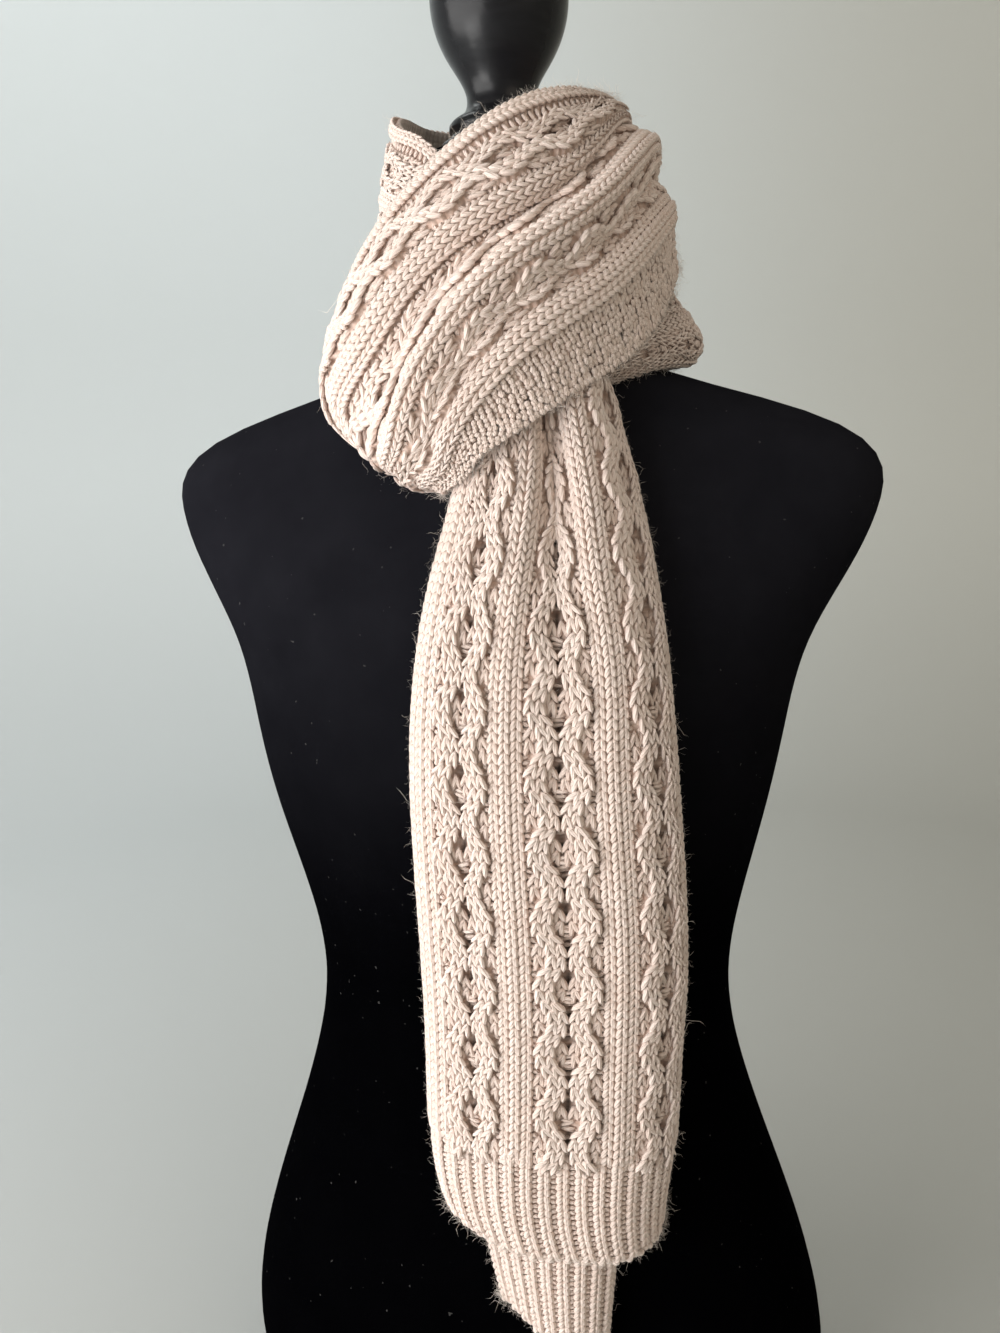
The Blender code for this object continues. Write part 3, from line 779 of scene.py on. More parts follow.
def cast_off(yarn, strip, first, last):
    """The hem's last row: a chain of loops across the edge, every second one lower."""
    edge = np.arange(max(first, CAST_OFF_FROM), min(last, CAST_OFF_TO), HEM_PAIR / 2)
    along = np.full(len(edge), strip.length - CAST_OFF_BACK)
    normal = strip.normal(edge, along)
    side = unit(strip.point(edge + REACH, along) - strip.point(edge - REACH, along))
    down = unit(strip.point(edge, along) - strip.point(edge, along - REACH))
    half = HEM_PAIR * CAST_OFF_SHARE * strip.spread(edge, along)
    drop = np.where(np.arange(len(edge)) % 2 == 0, *CAST_OFF_DROPS)[:, None]
    middle = strip.point(edge, along) + down * drop + normal * CAST_OFF_LIFT
    yarn.lay(middle, side, normal, CAST_OFF_THICK, half, CAST_OFF_HIGH, 0.0)


def knit_strip(strip, low, high, seed, kinds, first, last):
    """The yarn of the panels of these kinds, between two places along the strip."""
    yarn = Yarn(seed)
    own_ground = ground_of(strip)
    cable_high = high if strip.hem_at is None else min(high, strip.hem_at + HEM_LAP)
    for panel in strip.panels:
        if panel.kind not in kinds or panel.end <= first or panel.start >= last:
            continue
        if panel.kind == "cable":
            knit_cable(yarn, strip, panel, low, cable_high)
        for k in range(panel.wales):
            wide = (panel.end - panel.start) / panel.wales
            across = panel.start + (k + 0.5) * wide
            if not first <= across <= last:
                continue
            middle = steady(across)
            if panel.kind == "rib":
                knit_wale(yarn, strip, middle, own_ground, wide, low, cable_high)
            if panel.kind == "edge":
                knit_wale(yarn, strip, middle, own_ground, wide, low, cable_high, EDGE_ROW)
            if panel.kind == "garter":
                odd = k % 2
                start = low + MOSS_PURL.row / 2 * odd
                purl_bumps(yarn, strip, middle, steady(wide * MOSS_HALF), start, cable_high,
                           MOSS_PURL, turn=MOSS_TURN * (1 - 2 * odd))
            if panel.kind == "ladder":
                purl_bumps(yarn, strip, middle, steady(wide * LADDER_HALF), low, cable_high,
                           LADDER_PURL)
    if "hem" in kinds and strip.hem_at is not None:
        knit_hem(yarn, strip, first, last)
    return yarn


# ---------------------------------------------------------------- materials

WOOL_LIGHT = (0.870, 0.762, 0.708)
WOOL_WARM = (0.765, 0.615, 0.540)
# Painted shade: in the plies' grooves, on yarn that lies deep and on the ground between the
# stitches
WOOL_SHADE = (0.440, 0.280, 0.210)
# Painted shadow in the cables' open holes
WOOL_HOLE_SHADE = (0.035, 0.022, 0.016)
HALO_LIGHT = (0.92, 0.84, 0.76)
HALO_WARM = (0.80, 0.69, 0.60)
# The velour's colour low down, and painted lighter above the waist as sheen of the light from above
VELOUR_BELOW = ((0.0004, 0.0004, 0.0006), (0.0010, 0.0010, 0.0013))
VELOUR_LIT_ABOVE = ((0.0070, 0.0070, 0.0092), (0.0160, 0.0160, 0.0200))
LINT = (0.30, 0.29, 0.28)
LACQUER = ((0.006, 0.006, 0.007), (0.014, 0.014, 0.016))
# Painted light on the window's side, painted shade on the far side and low down
PAPER_LIT = (0.625, 0.660, 0.670)
PAPER_FAR_SHADE = (0.455, 0.448, 0.408)
# Painted shade towards the floor
PAPER_FLOOR_SHADE = (0.10, 0.11, 0.11)
PLY_COUNT = 6  # plies seen round one leg of a stitch
PLY_TWIST = 1.7  # turns of the plies in its length
CREASE = math.radians(50)  # faces that meet at more than this keep a crisp edge


def new_finish(name, **shown):
    """A new material, with its shader's sockets set by their names."""
    made = bpy.data.materials.new(name)
    made.use_nodes = True
    shader = made.node_tree.nodes["Principled BSDF"]
    set_sockets(shader, {socket.replace("_", " "): value for socket, value in shown.items()})
    return made, made.node_tree, shader


def set_sockets(node, values):
    for name, value in values.items():
        node.inputs[name].default_value = value


def add(tree, kind, **settings):
    node = tree.nodes.new(kind)
    for key, value in settings.items():
        setattr(node, key, value)
    return node


def math_node(tree, operation, *values, clamp=False):
    node = add(tree, "ShaderNodeMath", operation=operation, use_clamp=clamp)
    for k, value in enumerate(values):
        if isinstance(value, (int, float)):
            node.inputs[k].default_value = value
        else:
            tree.links.new(value, node.inputs[k])
    return node.outputs[0]


def mix_colour(tree, factor, a, b):
    node = add(tree, "ShaderNodeMix", data_type="RGBA")
    sockets = [s for s in node.inputs if s.enabled]
    for socket, value in zip(sockets, (factor, a, b)):
        if isinstance(value, (int, float)):
            socket.default_value = value
        elif isinstance(value, tuple):
            socket.default_value = (*value, 1)
        else:
            tree.links.new(value, socket)
    return [s for s in node.outputs if s.enabled][0]


def noise(tree, scale, detail=2.0, rough=0.5, where=None):
    if where is None:
        where = object_place(tree)
    node = add(tree, "ShaderNodeTexNoise")
    tree.links.new(where, node.inputs["Vector"])
    set_sockets(node, {"Scale": scale, "Detail": detail, "Roughness": rough})
    return node.outputs["Fac"]


def object_place(tree):
    return add(tree, "ShaderNodeTexCoord").outputs["Object"]


def separated(tree, vector):
    parts = add(tree, "ShaderNodeSeparateXYZ")
    tree.links.new(vector, parts.inputs[0])
    return parts.outputs


def uv_parts(tree, uv_map):
    return separated(tree, add(tree, "ShaderNodeUVMap", uv_map=uv_map).outputs[0])


def own_value(tree, attribute):
    return add(tree, "ShaderNodeAttribute", attribute_name=attribute).outputs["Fac"]


def faded(tree, value, start, end, most=1.0):
    """0 where the value is at its start, smoothly up to the most at its end."""
    node = add(tree, "ShaderNodeMapRange", interpolation_type="SMOOTHSTEP")
    set_sockets(node, {"From Min": start, "From Max": end, "To Max": most})
    tree.links.new(value, node.inputs["Value"])
    return node.outputs[0]


def raise_bumps(tree, shader, height, strength, distance):
    bump = add(tree, "ShaderNodeBump")
    set_sockets(bump, {"Strength": strength, "Distance": distance})
    tree.links.new(height, bump.inputs["Height"])
    tree.links.new(bump.outputs[0], shader.inputs["Normal"])


def wool_yarn():
    """Plied cream wool: plies twisted along each stitch, its tone by stitch, with painted shade in
    its plies' grooves and on yarn that lies deep.
    """
    made, tree, shader = new_finish(
        "cream_wool_yarn", Roughness=0.92, Specular_IOR_Level=0.25, Sheen_Weight=0.35,
        Sheen_Roughness=0.45, Sheen_Tint=(1.0, 0.93, 0.85, 1),
    )
    parts = uv_parts(tree, "yarn")
    round_part = math_node(tree, "MULTIPLY", parts[0], PLY_COUNT * 2 * math.pi)
    long_part = math_node(tree, "MULTIPLY", parts[1], PLY_TWIST * 2 * math.pi)
    ply = math_node(tree, "SINE", math_node(tree, "ADD", round_part, long_part))
    ply = math_node(tree, "MULTIPLY_ADD", ply, 0.5, 0.5)
    fuzz = noise(tree, 1500.0, 3.0, 0.65)
    patch = noise(tree, 45.0)
    shade = math_node(tree, "MULTIPLY", own_value(tree, "tone"), 0.35)
    shade = math_node(tree, "ADD", shade, math_node(tree, "MULTIPLY", patch, 0.5))
    shade = math_node(tree, "ADD", shade, math_node(tree, "MULTIPLY", fuzz, 0.25), clamp=True)
    colour = mix_colour(tree, shade, WOOL_LIGHT, WOOL_WARM)
    # painted shade in the grooves between the plies
    groove_shade = math_node(tree, "MULTIPLY", math_node(tree, "SUBTRACT", 1.0, ply), 0.11)
    colour = mix_colour(tree, groove_shade, colour, WOOL_SHADE)
    # painted shade on yarn that lies deep, by its depth
    deep_shade = math_node(tree, "MULTIPLY", own_value(tree, "depth"), 0.50)
    colour = mix_colour(tree, deep_shade, colour, WOOL_SHADE)
    tree.links.new(colour, shader.inputs["Base Color"])
    height = math_node(tree, "ADD", ply, math_node(tree, "MULTIPLY", fuzz, 0.5))
    raise_bumps(tree, shader, height, 0.55, 0.0005)
    return made


def wool_ground():
    """The cloth between the stitches, painted in shade, and on its inner side in the yarn's own
    tone: rows of bumps, their valleys painted darker.
    """
    made, tree, shader = new_finish(
        "cream_wool_ground", Roughness=0.95, Specular_IOR_Level=0.2, Sheen_Weight=0.2
    )
    parts = uv_parts(tree, "strip")
    wale = math_node(tree, "SINE", math_node(tree, "MULTIPLY", parts[0], 2 * math.pi))
    row = math_node(tree, "SINE", math_node(tree, "MULTIPLY", parts[1], 2 * math.pi))
    bumps = math_node(tree, "ADD", math_node(tree, "MULTIPLY", wale, 0.35), row)
    fuzz = noise(tree, 1200.0, 3.0, 0.65)
    patch = noise(tree, 60.0)
    # painted shade in the valleys between the bumps, with random patches of tone
    shade = math_node(tree, "MULTIPLY_ADD", bumps, -0.18, 0.35)
    shade = math_node(tree, "ADD", shade, math_node(tree, "MULTIPLY", patch, 0.3), clamp=True)
    bright = mix_colour(tree, shade, WOOL_LIGHT, WOOL_WARM)
    # the outer side, seen between the stitches, in painted shade; the inner side in the yarn's tone
    painted_shade = mix_colour(tree, shade, WOOL_WARM, WOOL_SHADE)
    colour = mix_colour(tree, own_value(tree, "lining"), painted_shade, bright)
    # painted shadow in the cables' open holes
    colour = mix_colour(tree, own_value(tree, "hole"), colour, WOOL_HOLE_SHADE)
    tree.links.new(colour, shader.inputs["Base Color"])
    height = math_node(tree, "ADD", bumps, math_node(tree, "MULTIPLY", fuzz, 0.6))
    raise_bumps(tree, shader, height, 0.7, 0.0008)
    return made


def wool_halo():
    """The loose fibres that stand off the yarn."""
    made, tree, shader = new_finish("cream_wool_halo", Roughness=0.6, Sheen_Weight=0.5)
    colour = mix_colour(tree, noise(tree, 90.0), HALO_LIGHT, HALO_WARM)
    tree.links.new(colour, shader.inputs["Base Color"])
    return made


def black_velour():
    """Black stretch velour, painted lighter above the waist as sheen of the light from above, with
    a few specks of lint.
    """
    made, tree, shader = new_finish(
        "black_velour", Roughness=0.85, Specular_IOR_Level=0.0, Sheen_Weight=0.004,
        Sheen_Roughness=0.30, Sheen_Tint=(0.75, 0.78, 0.85, 1),
    )
    nap = noise(tree, 26.0, 4.0, 0.6)
    pile = noise(tree, 2600.0, 2.0, 0.6)
    # painted sheen: lighter above the waist, as if lit from above
    lit_above = faded(tree, separated(tree, object_place(tree))[2], 0.30, 0.62)
    nap_below = mix_colour(tree, nap, *VELOUR_BELOW)
    nap_lit_above = mix_colour(tree, nap, *VELOUR_LIT_ABOVE)
    colour = mix_colour(tree, lit_above, nap_below, nap_lit_above)
    specks = math_node(tree, "GREATER_THAN", noise(tree, 420.0, 0.0), 0.86)
    colour = mix_colour(tree, math_node(tree, "MULTIPLY", specks, 0.12), colour, LINT)
    tree.links.new(colour, shader.inputs["Base Color"])
    height = math_node(tree, "ADD", math_node(tree, "MULTIPLY", pile, 0.4), nap)
    raise_bumps(tree, shader, height, 0.35, 0.0006)
    return made


def black_lacquer():
    """Glossy black paint on turned wood, with fine cracks and brush drag round the turning."""
    made, tree, shader = new_finish("black_lacquered_wood", Specular_IOR_Level=0.20)
    squeeze = add(tree, "ShaderNodeMapping")
    squeeze.inputs["Scale"].default_value = (1.0, 1.0, 5.0)
    tree.links.new(object_place(tree), squeeze.inputs["Vector"])
    drag = noise(tree, 60.0, 4.0, where=squeeze.outputs[0])
    cracks = add(tree, "ShaderNodeTexVoronoi", feature="DISTANCE_TO_EDGE")
    cracks.inputs["Scale"].default_value = 190.0
    tree.links.new(squeeze.outputs[0], cracks.inputs["Vector"])
    edge = math_node(tree, "LESS_THAN", cracks.outputs["Distance"], 0.03)
    tree.links.new(mix_colour(tree, drag, *LACQUER), shader.inputs["Base Color"])
    rough = math_node(tree, "MULTIPLY_ADD", drag, 0.14, 0.16)
    tree.links.new(rough, shader.inputs["Roughness"])
    height = math_node(tree, "SUBTRACT", drag, math_node(tree, "MULTIPLY", edge, 0.5))
    raise_bumps(tree, shader, height, 0.15, 0.0006)
    return made


def studio_paper():
    """Pale paper with painted light: lighter and cooler on the window's side, with painted shade on
    its far side and towards the floor.
    """
    made, tree, shader = new_finish(
        "pale_studio_paper", Roughness=0.95, Specular_IOR_Level=0.1
    )
    parts = separated(tree, object_place(tree))
    # painted light and shade: lit on the window's side, shaded on the far side
    colour = mix_colour(tree, faded(tree, parts[0], -1.0, 0.75), PAPER_LIT, PAPER_FAR_SHADE)
    # painted shade towards the floor
    low_down = faded(tree, parts[2], 0.60, -0.02, 0.17)
    colour = mix_colour(tree, low_down, colour, PAPER_FLOOR_SHADE)
    tree.links.new(colour, shader.inputs["Base Color"])
    return made


# ---------------------------------------------------------------- pieces

SPINDLE_BELLY = 2.4  # powers of a spindle's outline
SPINDLE_TIP = 0.6
SPINDLE_SPREAD = 1.1  # its hoops are spread this much towards its tips
FIBRE_RADIUS = 0.012  # of a fibre that is 2 long
FIBRE_BENDS = ((-0.45, 0.34), (0.40, -0.26))  # places along it, and how far it bows there
FIBRE_SIDES = 3
HAIR_AT_EDGES = 0.6  # part of the hairs that stand near the two edges
HAIR_AT_HEM = 0.34  # part of them that stand at the end of the cloth
HAIR_HEM_REACH = 2.0  # mm, the mean distance of those from the end
HAIR_EDGE_REACH = 0.03  # part of the width
HAIR_STAND = (0.15, 1.3)  # least and most slope off the cloth
HAIR_HALF = 0.5  # mm, the shortest hair's half length
HAIR_GAMMA = (3.0, 0.42)  # how much longer the others are: shape and scale in mm
HAIR_STRAYS = 0.03  # part of the hairs that are long
STRAY_LENGTH = 1.7
HAIR_ROOT = 1.3  # mm over the cloth
HAIR_ROOTED = 0.9  # how far its middle stands from there, in half lengths
HAIR_SEED_AFTER = 50
HAIR_TONE_SEED = 3
BODY_LEVELS = 100
BODY_SIDES = 96
CAP_LEVELS = 64
CAP_SIDES = 56


def link(name, mesh, finish=None):
    made = bpy.data.objects.new(name, mesh)
    bpy.context.scene.collection.objects.link(made)
    if finish is not None:
        mesh.materials.clear()
        mesh.materials.append(finish)
    return made


def smooth_mesh(name, code, outward=True):
    """A plain mesh with smooth faces, which point outwards."""
    if outward:
        bmesh.ops.recalc_face_normals(code, faces=code.faces[:])
    mesh = bpy.data.meshes.new(name)
    code.to_mesh(mesh)
    code.free()
    mesh.shade_smooth()
    return mesh


def outward_faces(made):
    code = bmesh.new()
    code.from_mesh(made.data)
    bmesh.ops.recalc_face_normals(code, faces=code.faces[:])
    code.to_mesh(made.data)
    code.free()


def cloth_shell(name, strip, low, high, finish, fine, rows):
    """The ground of one stretch: a thin closed shell with its relief on the outer side."""
    columns = int(round((STRIP_TO - STRIP_FROM) / fine)) + 1
    lines = int(round((high - low) / rows)) + 1
    across, along = np.meshgrid(
        np.linspace(STRIP_FROM, STRIP_TO, columns), np.linspace(low, high, lines)
    )
    middle = strip.point(across, along)
    normal = strip.normal(across, along)
    height = relief(strip, across, along) - GROUND_SUNK
    outer = (middle + normal * height[..., None]).reshape(-1, 3)
    inner = (middle - normal * CLOTH).reshape(-1, 3)
    count = columns * lines
    grid = np.arange(count).reshape(lines, columns)
    a, b = grid[:-1, :-1].ravel(), grid[:-1, 1:].ravel()
    c, d = grid[1:, 1:].ravel(), grid[1:, :-1].ravel()
    outside = np.stack([a, b, c, d], axis=1)
    inside = outside[:, ::-1] + count
    border = np.concatenate([grid[0, :-1], grid[:-1, -1], grid[-1, :0:-1], grid[:0:-1, 0]])
    after = np.roll(border, -1)
    rim = np.stack([after, border, border + count, after + count], axis=1)
    faces = np.concatenate([outside, inside, rim])
    if strip.sign < 0:
        faces = faces[:, ::-1]
    mesh = bpy.data.meshes.new(name)
    mesh.from_pydata((np.concatenate([outer, inner]) * MM).tolist(), [], faces.tolist())
    # lining: 0 on the outer side, which is painted in shade, 1 on the inner side
    store_values(mesh, "lining", np.repeat([0.0, 1.0], count))
    # painted shadow in the cables' open holes
    hole_shade = holes(strip, across, along).ravel()
    store_values(mesh, "hole", np.concatenate([hole_shade, np.zeros(count)]))
    uv = mesh.uv_layers.new(name="strip")
    flat = np.stack([across.ravel() / GROUND_WALE, along.ravel() / ROW], axis=1)
    flat = np.concatenate([flat, flat])
    corners = np.empty(len(mesh.loops), np.int32)
    mesh.loops.foreach_get("vertex_index", corners)
    uv.data.foreach_set("uv", flat[corners].astype(np.float32).ravel())
    mesh.validate()
    made = link(name, mesh, finish)
    outward_faces(made)
    mesh.shade_smooth()
    return made


def store_values(mesh, name, values):
    layer = mesh.attributes.new(name, "FLOAT", "POINT")
    layer.data.foreach_set("value", values.astype(np.float32))


def spindle(name, sides, rings):
    """One leg of a stitch: a closed spindle of yarn, 2 long and 2 across, with its own uv."""
    code = bmesh.new()
    layer = code.loops.layers.uv.new("yarn")
    tips = [code.verts.new((0, end, 0)) for end in (-1, 1)]
    spots = np.linspace(-1, 1, rings + 2)[1:-1] * SPINDLE_SPREAD
    heights = [(spot + 1) / 2 for spot in spots]
    hoops = []
    for spot in spots:
        radius = (1 - abs(spot) ** SPINDLE_BELLY) ** SPINDLE_TIP
        ring = []
        for k in range(sides):
            turn = 2 * math.pi * (k + 0.5) / sides
            ring.append(code.verts.new((radius * math.cos(turn), spot, radius * math.sin(turn))))
        hoops.append(ring)
    for k in range(sides):
        j = (k + 1) % sides
        low, high = k / sides, (k + 1) / sides
        middle = (low + high) / 2
        shapes = [
            (
                (tips[0], hoops[0][k], hoops[0][j]),
                ((middle, 0), (low, heights[0]), (high, heights[0])),
            ),
            (
                (tips[1], hoops[-1][j], hoops[-1][k]),
                ((middle, 1), (high, heights[-1]), (low, heights[-1])),
            ),
        ]
        for r in range(rings - 1):
            v0, v1 = heights[r], heights[r + 1]
            shapes.append(
                (
                    (hoops[r][k], hoops[r + 1][k], hoops[r + 1][j], hoops[r][j]),
                    ((low, v0), (low, v1), (high, v1), (high, v0)),
                )
            )
        for corners, places in shapes:
            face = code.faces.new(corners)
            for loop, place in zip(face.loops, places):
                loop[layer].uv = place
    return link(name, smooth_mesh(name, code))


def fibre(name):
    """One loose fibre, 2 long, bent, and very thin."""
    code = bmesh.new()
    code.loops.layers.uv.new("yarn")
    ends = [code.verts.new((0, spot, 0)) for spot in (-1.0, 1.0)]
    rings = []
    for spot, bow in FIBRE_BENDS:
        ring = []
        for k in range(FIBRE_SIDES):
            turn = 2 * math.pi * k / FIBRE_SIDES
            across, up = FIBRE_RADIUS * math.cos(turn), FIBRE_RADIUS * math.sin(turn)
            ring.append(code.verts.new((across, spot, bow + up)))
        rings.append(ring)
    for k in range(FIBRE_SIDES):
        j = (k + 1) % FIBRE_SIDES
        for end, ring in zip(ends, rings):
            code.faces.new((end, ring[k], ring[j]))
        code.faces.new((rings[0][k], rings[1][k], rings[1][j], rings[0][j]))
    return link(name, smooth_mesh(name, code))


def laying_tree(name):
    """Lays one template on every point, by the point's own heading, upright and half sizes."""
    tree = bpy.data.node_groups.new(name, "GeometryNodeTree")
    face = tree.interface
    for label, kind in (
        ("Places", "Geometry"),
        ("Template", "Object"),
        ("Plumpness", "Float"),
        ("Tone seed", "Int"),
        ("Finish", "Material"),
    ):
        face.new_socket(label, in_out="INPUT", socket_type="NodeSocket" + kind)
    face.new_socket("Yarn", in_out="OUTPUT", socket_type="NodeSocketGeometry")
    nodes, links = tree.nodes, tree.links
    given = nodes.new("NodeGroupInput")
    result = nodes.new("NodeGroupOutput")

    def named(attribute):
        node = nodes.new("GeometryNodeInputNamedAttribute")
        node.data_type = "FLOAT_VECTOR"
        node.inputs["Name"].default_value = attribute
        return [s for s in node.outputs if s.enabled and s.name == "Attribute"][0]

    turn = nodes.new("FunctionNodeAxesToRotation")
    turn.primary_axis = "Y"
    turn.secondary_axis = "Z"
    links.new(named("heading"), turn.inputs[0])
    links.new(named("upright"), turn.inputs[1])
    plump = nodes.new("ShaderNodeCombineXYZ")
    plump.inputs[1].default_value = 1.0
    links.new(given.outputs["Plumpness"], plump.inputs[0])
    links.new(given.outputs["Plumpness"], plump.inputs[2])
    scale = nodes.new("ShaderNodeVectorMath")
    scale.operation = "MULTIPLY"
    links.new(named("half_size"), scale.inputs[0])
    links.new(plump.outputs[0], scale.inputs[1])
    template = nodes.new("GeometryNodeObjectInfo")
    links.new(given.outputs["Template"], template.inputs["Object"])
    lay = nodes.new("GeometryNodeInstanceOnPoints")
    links.new(given.outputs["Places"], lay.inputs["Points"])
    links.new(template.outputs["Geometry"], lay.inputs["Instance"])
    links.new(turn.outputs[0], lay.inputs["Rotation"])
    links.new(scale.outputs[0], lay.inputs["Scale"])
    chance = nodes.new("FunctionNodeRandomValue")
    chance.data_type = "FLOAT"
    links.new(given.outputs["Tone seed"], chance.inputs["Seed"])
    tone = nodes.new("GeometryNodeStoreNamedAttribute")
    tone.data_type = "FLOAT"
    tone.domain = "INSTANCE"
    tone.inputs["Name"].default_value = "tone"
    links.new(lay.outputs[0], tone.inputs["Geometry"])
    value = [s for s in chance.outputs if s.enabled][0]
    links.new(value, [s for s in tone.inputs if s.enabled and s.name == "Value"][0])
    real = nodes.new("GeometryNodeRealizeInstances")
    links.new(tone.outputs[0], real.inputs[0])
    wear = nodes.new("GeometryNodeSetMaterial")
    links.new(real.outputs[0], wear.inputs["Geometry"])
    links.new(given.outputs["Finish"], wear.inputs["Material"])
    links.new(wear.outputs[0], result.inputs[0])
    return tree


def laid(name, tree, yarn, template, finish, seed, plump=1.0):
    """Runs the laying tree over the gathered places and keeps its result as a plain mesh."""
    middle, heading, upright, size, depth = yarn.gathered()
    points = bpy.data.meshes.new(name + "_places")
    points.from_pydata((middle * MM).tolist(), [], [])
    headed = {"heading": heading, "upright": upright, "half_size": size * MM}
    for label, values in headed.items():
        layer = points.attributes.new(label, "FLOAT_VECTOR", "POINT")
        layer.data.foreach_set("vector", values.astype(np.float32).ravel())
    # depth: how much painted shade each spindle's yarn takes
    store_values(points, "depth", depth)
    source = link(name + "_places", points)
    maker = source.modifiers.new("laying", "NODES")
    maker.node_group = tree
    values = {"Template": template, "Plumpness": plump, "Tone seed": seed, "Finish": finish}
    for item in tree.interface.items_tree:
        if item.in_out == "INPUT" and item.name in values:
            maker[item.identifier] = values[item.name]
    graph = bpy.context.evaluated_depsgraph_get()
    mesh = bpy.data.meshes.new_from_object(
        source.evaluated_get(graph), preserve_all_data_layers=True, depsgraph=graph
    )
    source.modifiers.remove(maker)
    bpy.data.objects.remove(source)
    bpy.data.meshes.remove(points)
    mesh.name = name
    for label in headed:
        layer = mesh.attributes.get(label)
        if layer is not None:
            mesh.attributes.remove(layer)
    mesh.shade_smooth()
    return link(name, mesh, finish)


def halo(strip, low, high, seed, count, first, last):
    """Loose fibres over a stretch, more of them near its edges and hem, a few long strays."""
    yarn = Yarn(seed)
    rng = yarn.rng
    along = rng.uniform(low, high, count)
    spread = rng.uniform(0, 1, count)
    near_edge = rng.uniform(0, 1, count) < HAIR_AT_EDGES
    beside = np.round(spread) + rng.normal(0, HAIR_EDGE_REACH, count)
    spread = np.where(near_edge, beside, spread)
    across = np.clip(first + spread * (last - first), first, last)
    if strip.hem_at is not None:
        at_hem = rng.uniform(0, 1, count) < HAIR_AT_HEM
        along = np.where(at_hem, high - rng.exponential(HAIR_HEM_REACH, count), along)
    normal = strip.normal(across, along)
    way = unit(strip.point(across, along + REACH) - strip.point(across, along - REACH))
    side = np.cross(normal, way)
    turn = rng.uniform(0, 2 * math.pi, count)
    flat = way * np.cos(turn)[:, None] + side * np.sin(turn)[:, None]
    stand = rng.uniform(*HAIR_STAND, count)[:, None]
    heading = unit(flat + normal * stand)
    half = rng.gamma(*HAIR_GAMMA, count) + HAIR_HALF
    half = np.where(rng.uniform(0, 1, count) < HAIR_STRAYS, half * STRAY_LENGTH, half)
    height = relief(strip, across, along) + HAIR_ROOT
    root = strip.point(across, along) + normal * height[:, None]
    upright = unit(np.cross(heading, rng.normal(0, 1, (count, 3))))
    middle = root + heading * half[:, None] * HAIR_ROOTED
    yarn.lay(middle, heading, upright, half, half, half, 0.0)
    return yarn


def form_body(finish):
    """The padded body under its jersey, lofted finely through the level sections."""
    top = BODY[-1].z
    levels = np.unique(np.round(np.linspace(0, top, BODY_LEVELS), 3))
    sizes = smooth_weights([section.z for section in BODY], levels) @ np.array(
        [(section.half_width, section.front, section.back) for section in BODY], float
    )
    turn = 2 * math.pi * np.arange(BODY_SIDES) / BODY_SIDES
    cos, sin = np.cos(turn), np.sin(turn)
    x = np.sign(cos) * np.abs(cos) ** (2 / BODY_POWER)
    y = np.sign(sin) * np.abs(sin) ** (2 / BODY_POWER)
    depth = np.where(y > 0, sizes[:, 2:3], sizes[:, 1:2])
    heights = np.repeat(levels[:, None], BODY_SIDES, axis=1)
    points = np.stack([sizes[:, :1] * x, depth * y, heights], axis=-1)
    grid = np.arange(len(levels) * BODY_SIDES).reshape(len(levels), BODY_SIDES)
    beside = np.roll(grid, -1, axis=1)
    walls = np.stack([grid[:-1], beside[:-1], beside[1:], grid[1:]], axis=-1).reshape(-1, 4)
    faces = walls.tolist() + [grid[0][::-1].tolist(), grid[-1].tolist()]
    mesh = bpy.data.meshes.new("form_body")
    mesh.from_pydata((points.reshape(-1, 3) * MM).tolist(), [], faces)
    made = link("form_body", mesh, finish)
    outward_faces(made)
    mesh.shade_smooth()
    mesh.set_sharp_from_angle(angle=CREASE)
    return made


def hoop(code, radius, middle_y, height, sides):
    """A level ring of corners."""
    turns = [2 * math.pi * k / sides for k in range(sides)]
    return [
        code.verts.new((radius * math.cos(turn), middle_y + radius * math.sin(turn), height))
        for turn in turns
    ]


def form_cap(finish):
    """The turned ball and stem, spun finely about the neck's axis."""
    profile = np.array(CAP_PROFILE, float)
    steps = length_down(profile)
    curve = smooth_weights(steps, np.linspace(0, steps[-1], CAP_LEVELS)) @ profile
    curve[0] = profile[0]
    curve[-1] = profile[-1]
    curve[:, 0] = np.maximum(curve[:, 0], 0)
    curve *= MM
    code = bmesh.new()
    top = code.verts.new((0, NECK_Y * MM, curve[0, 1]))
    foot = code.verts.new((0, NECK_Y * MM, curve[-1, 1]))
    hoops = [
        hoop(code, radius, NECK_Y * MM, height, CAP_SIDES) for radius, height in curve[1:]
    ]
    for k in range(CAP_SIDES):
        j = (k + 1) % CAP_SIDES
        code.faces.new((top, hoops[0][k], hoops[0][j]))
        code.faces.new((foot, hoops[-1][j], hoops[-1][k]))
        for low, high in zip(hoops, hoops[1:]):
            code.faces.new((low[k], high[k], high[j], low[j]))
    mesh = smooth_mesh("form_cap", code)
    mesh.set_sharp_from_angle(angle=CREASE)
    return link("form_cap", mesh, finish)


# ---------------------------------------------------------------- the studio

FLOOR_RADIUS = 1.3  # metres
FLOOR_Z = -0.001
SWEEP_BEND = 0.9
SWEEP_STEPS = 12
SWEEP_TOP = 3.2
SWEEP_SIDES = 96

# The camera: degrees that it is turned to the form's left, looks down and is tipped
VIEW_TURN = 13
VIEW_DOWN = 10.2
VIEW_TIP = -1.5
VIEW_AWAY = 0.65  # metres from the form's axis
VIEW_HEIGHT = 0.586
VIEW_ASIDE = 17  # dots of the frame, as the next two are
VIEW_FOCAL = 1150
FRAME_HEIGHT = 1333
FILM = 36  # mm
VIEW_NEAR = 0.02

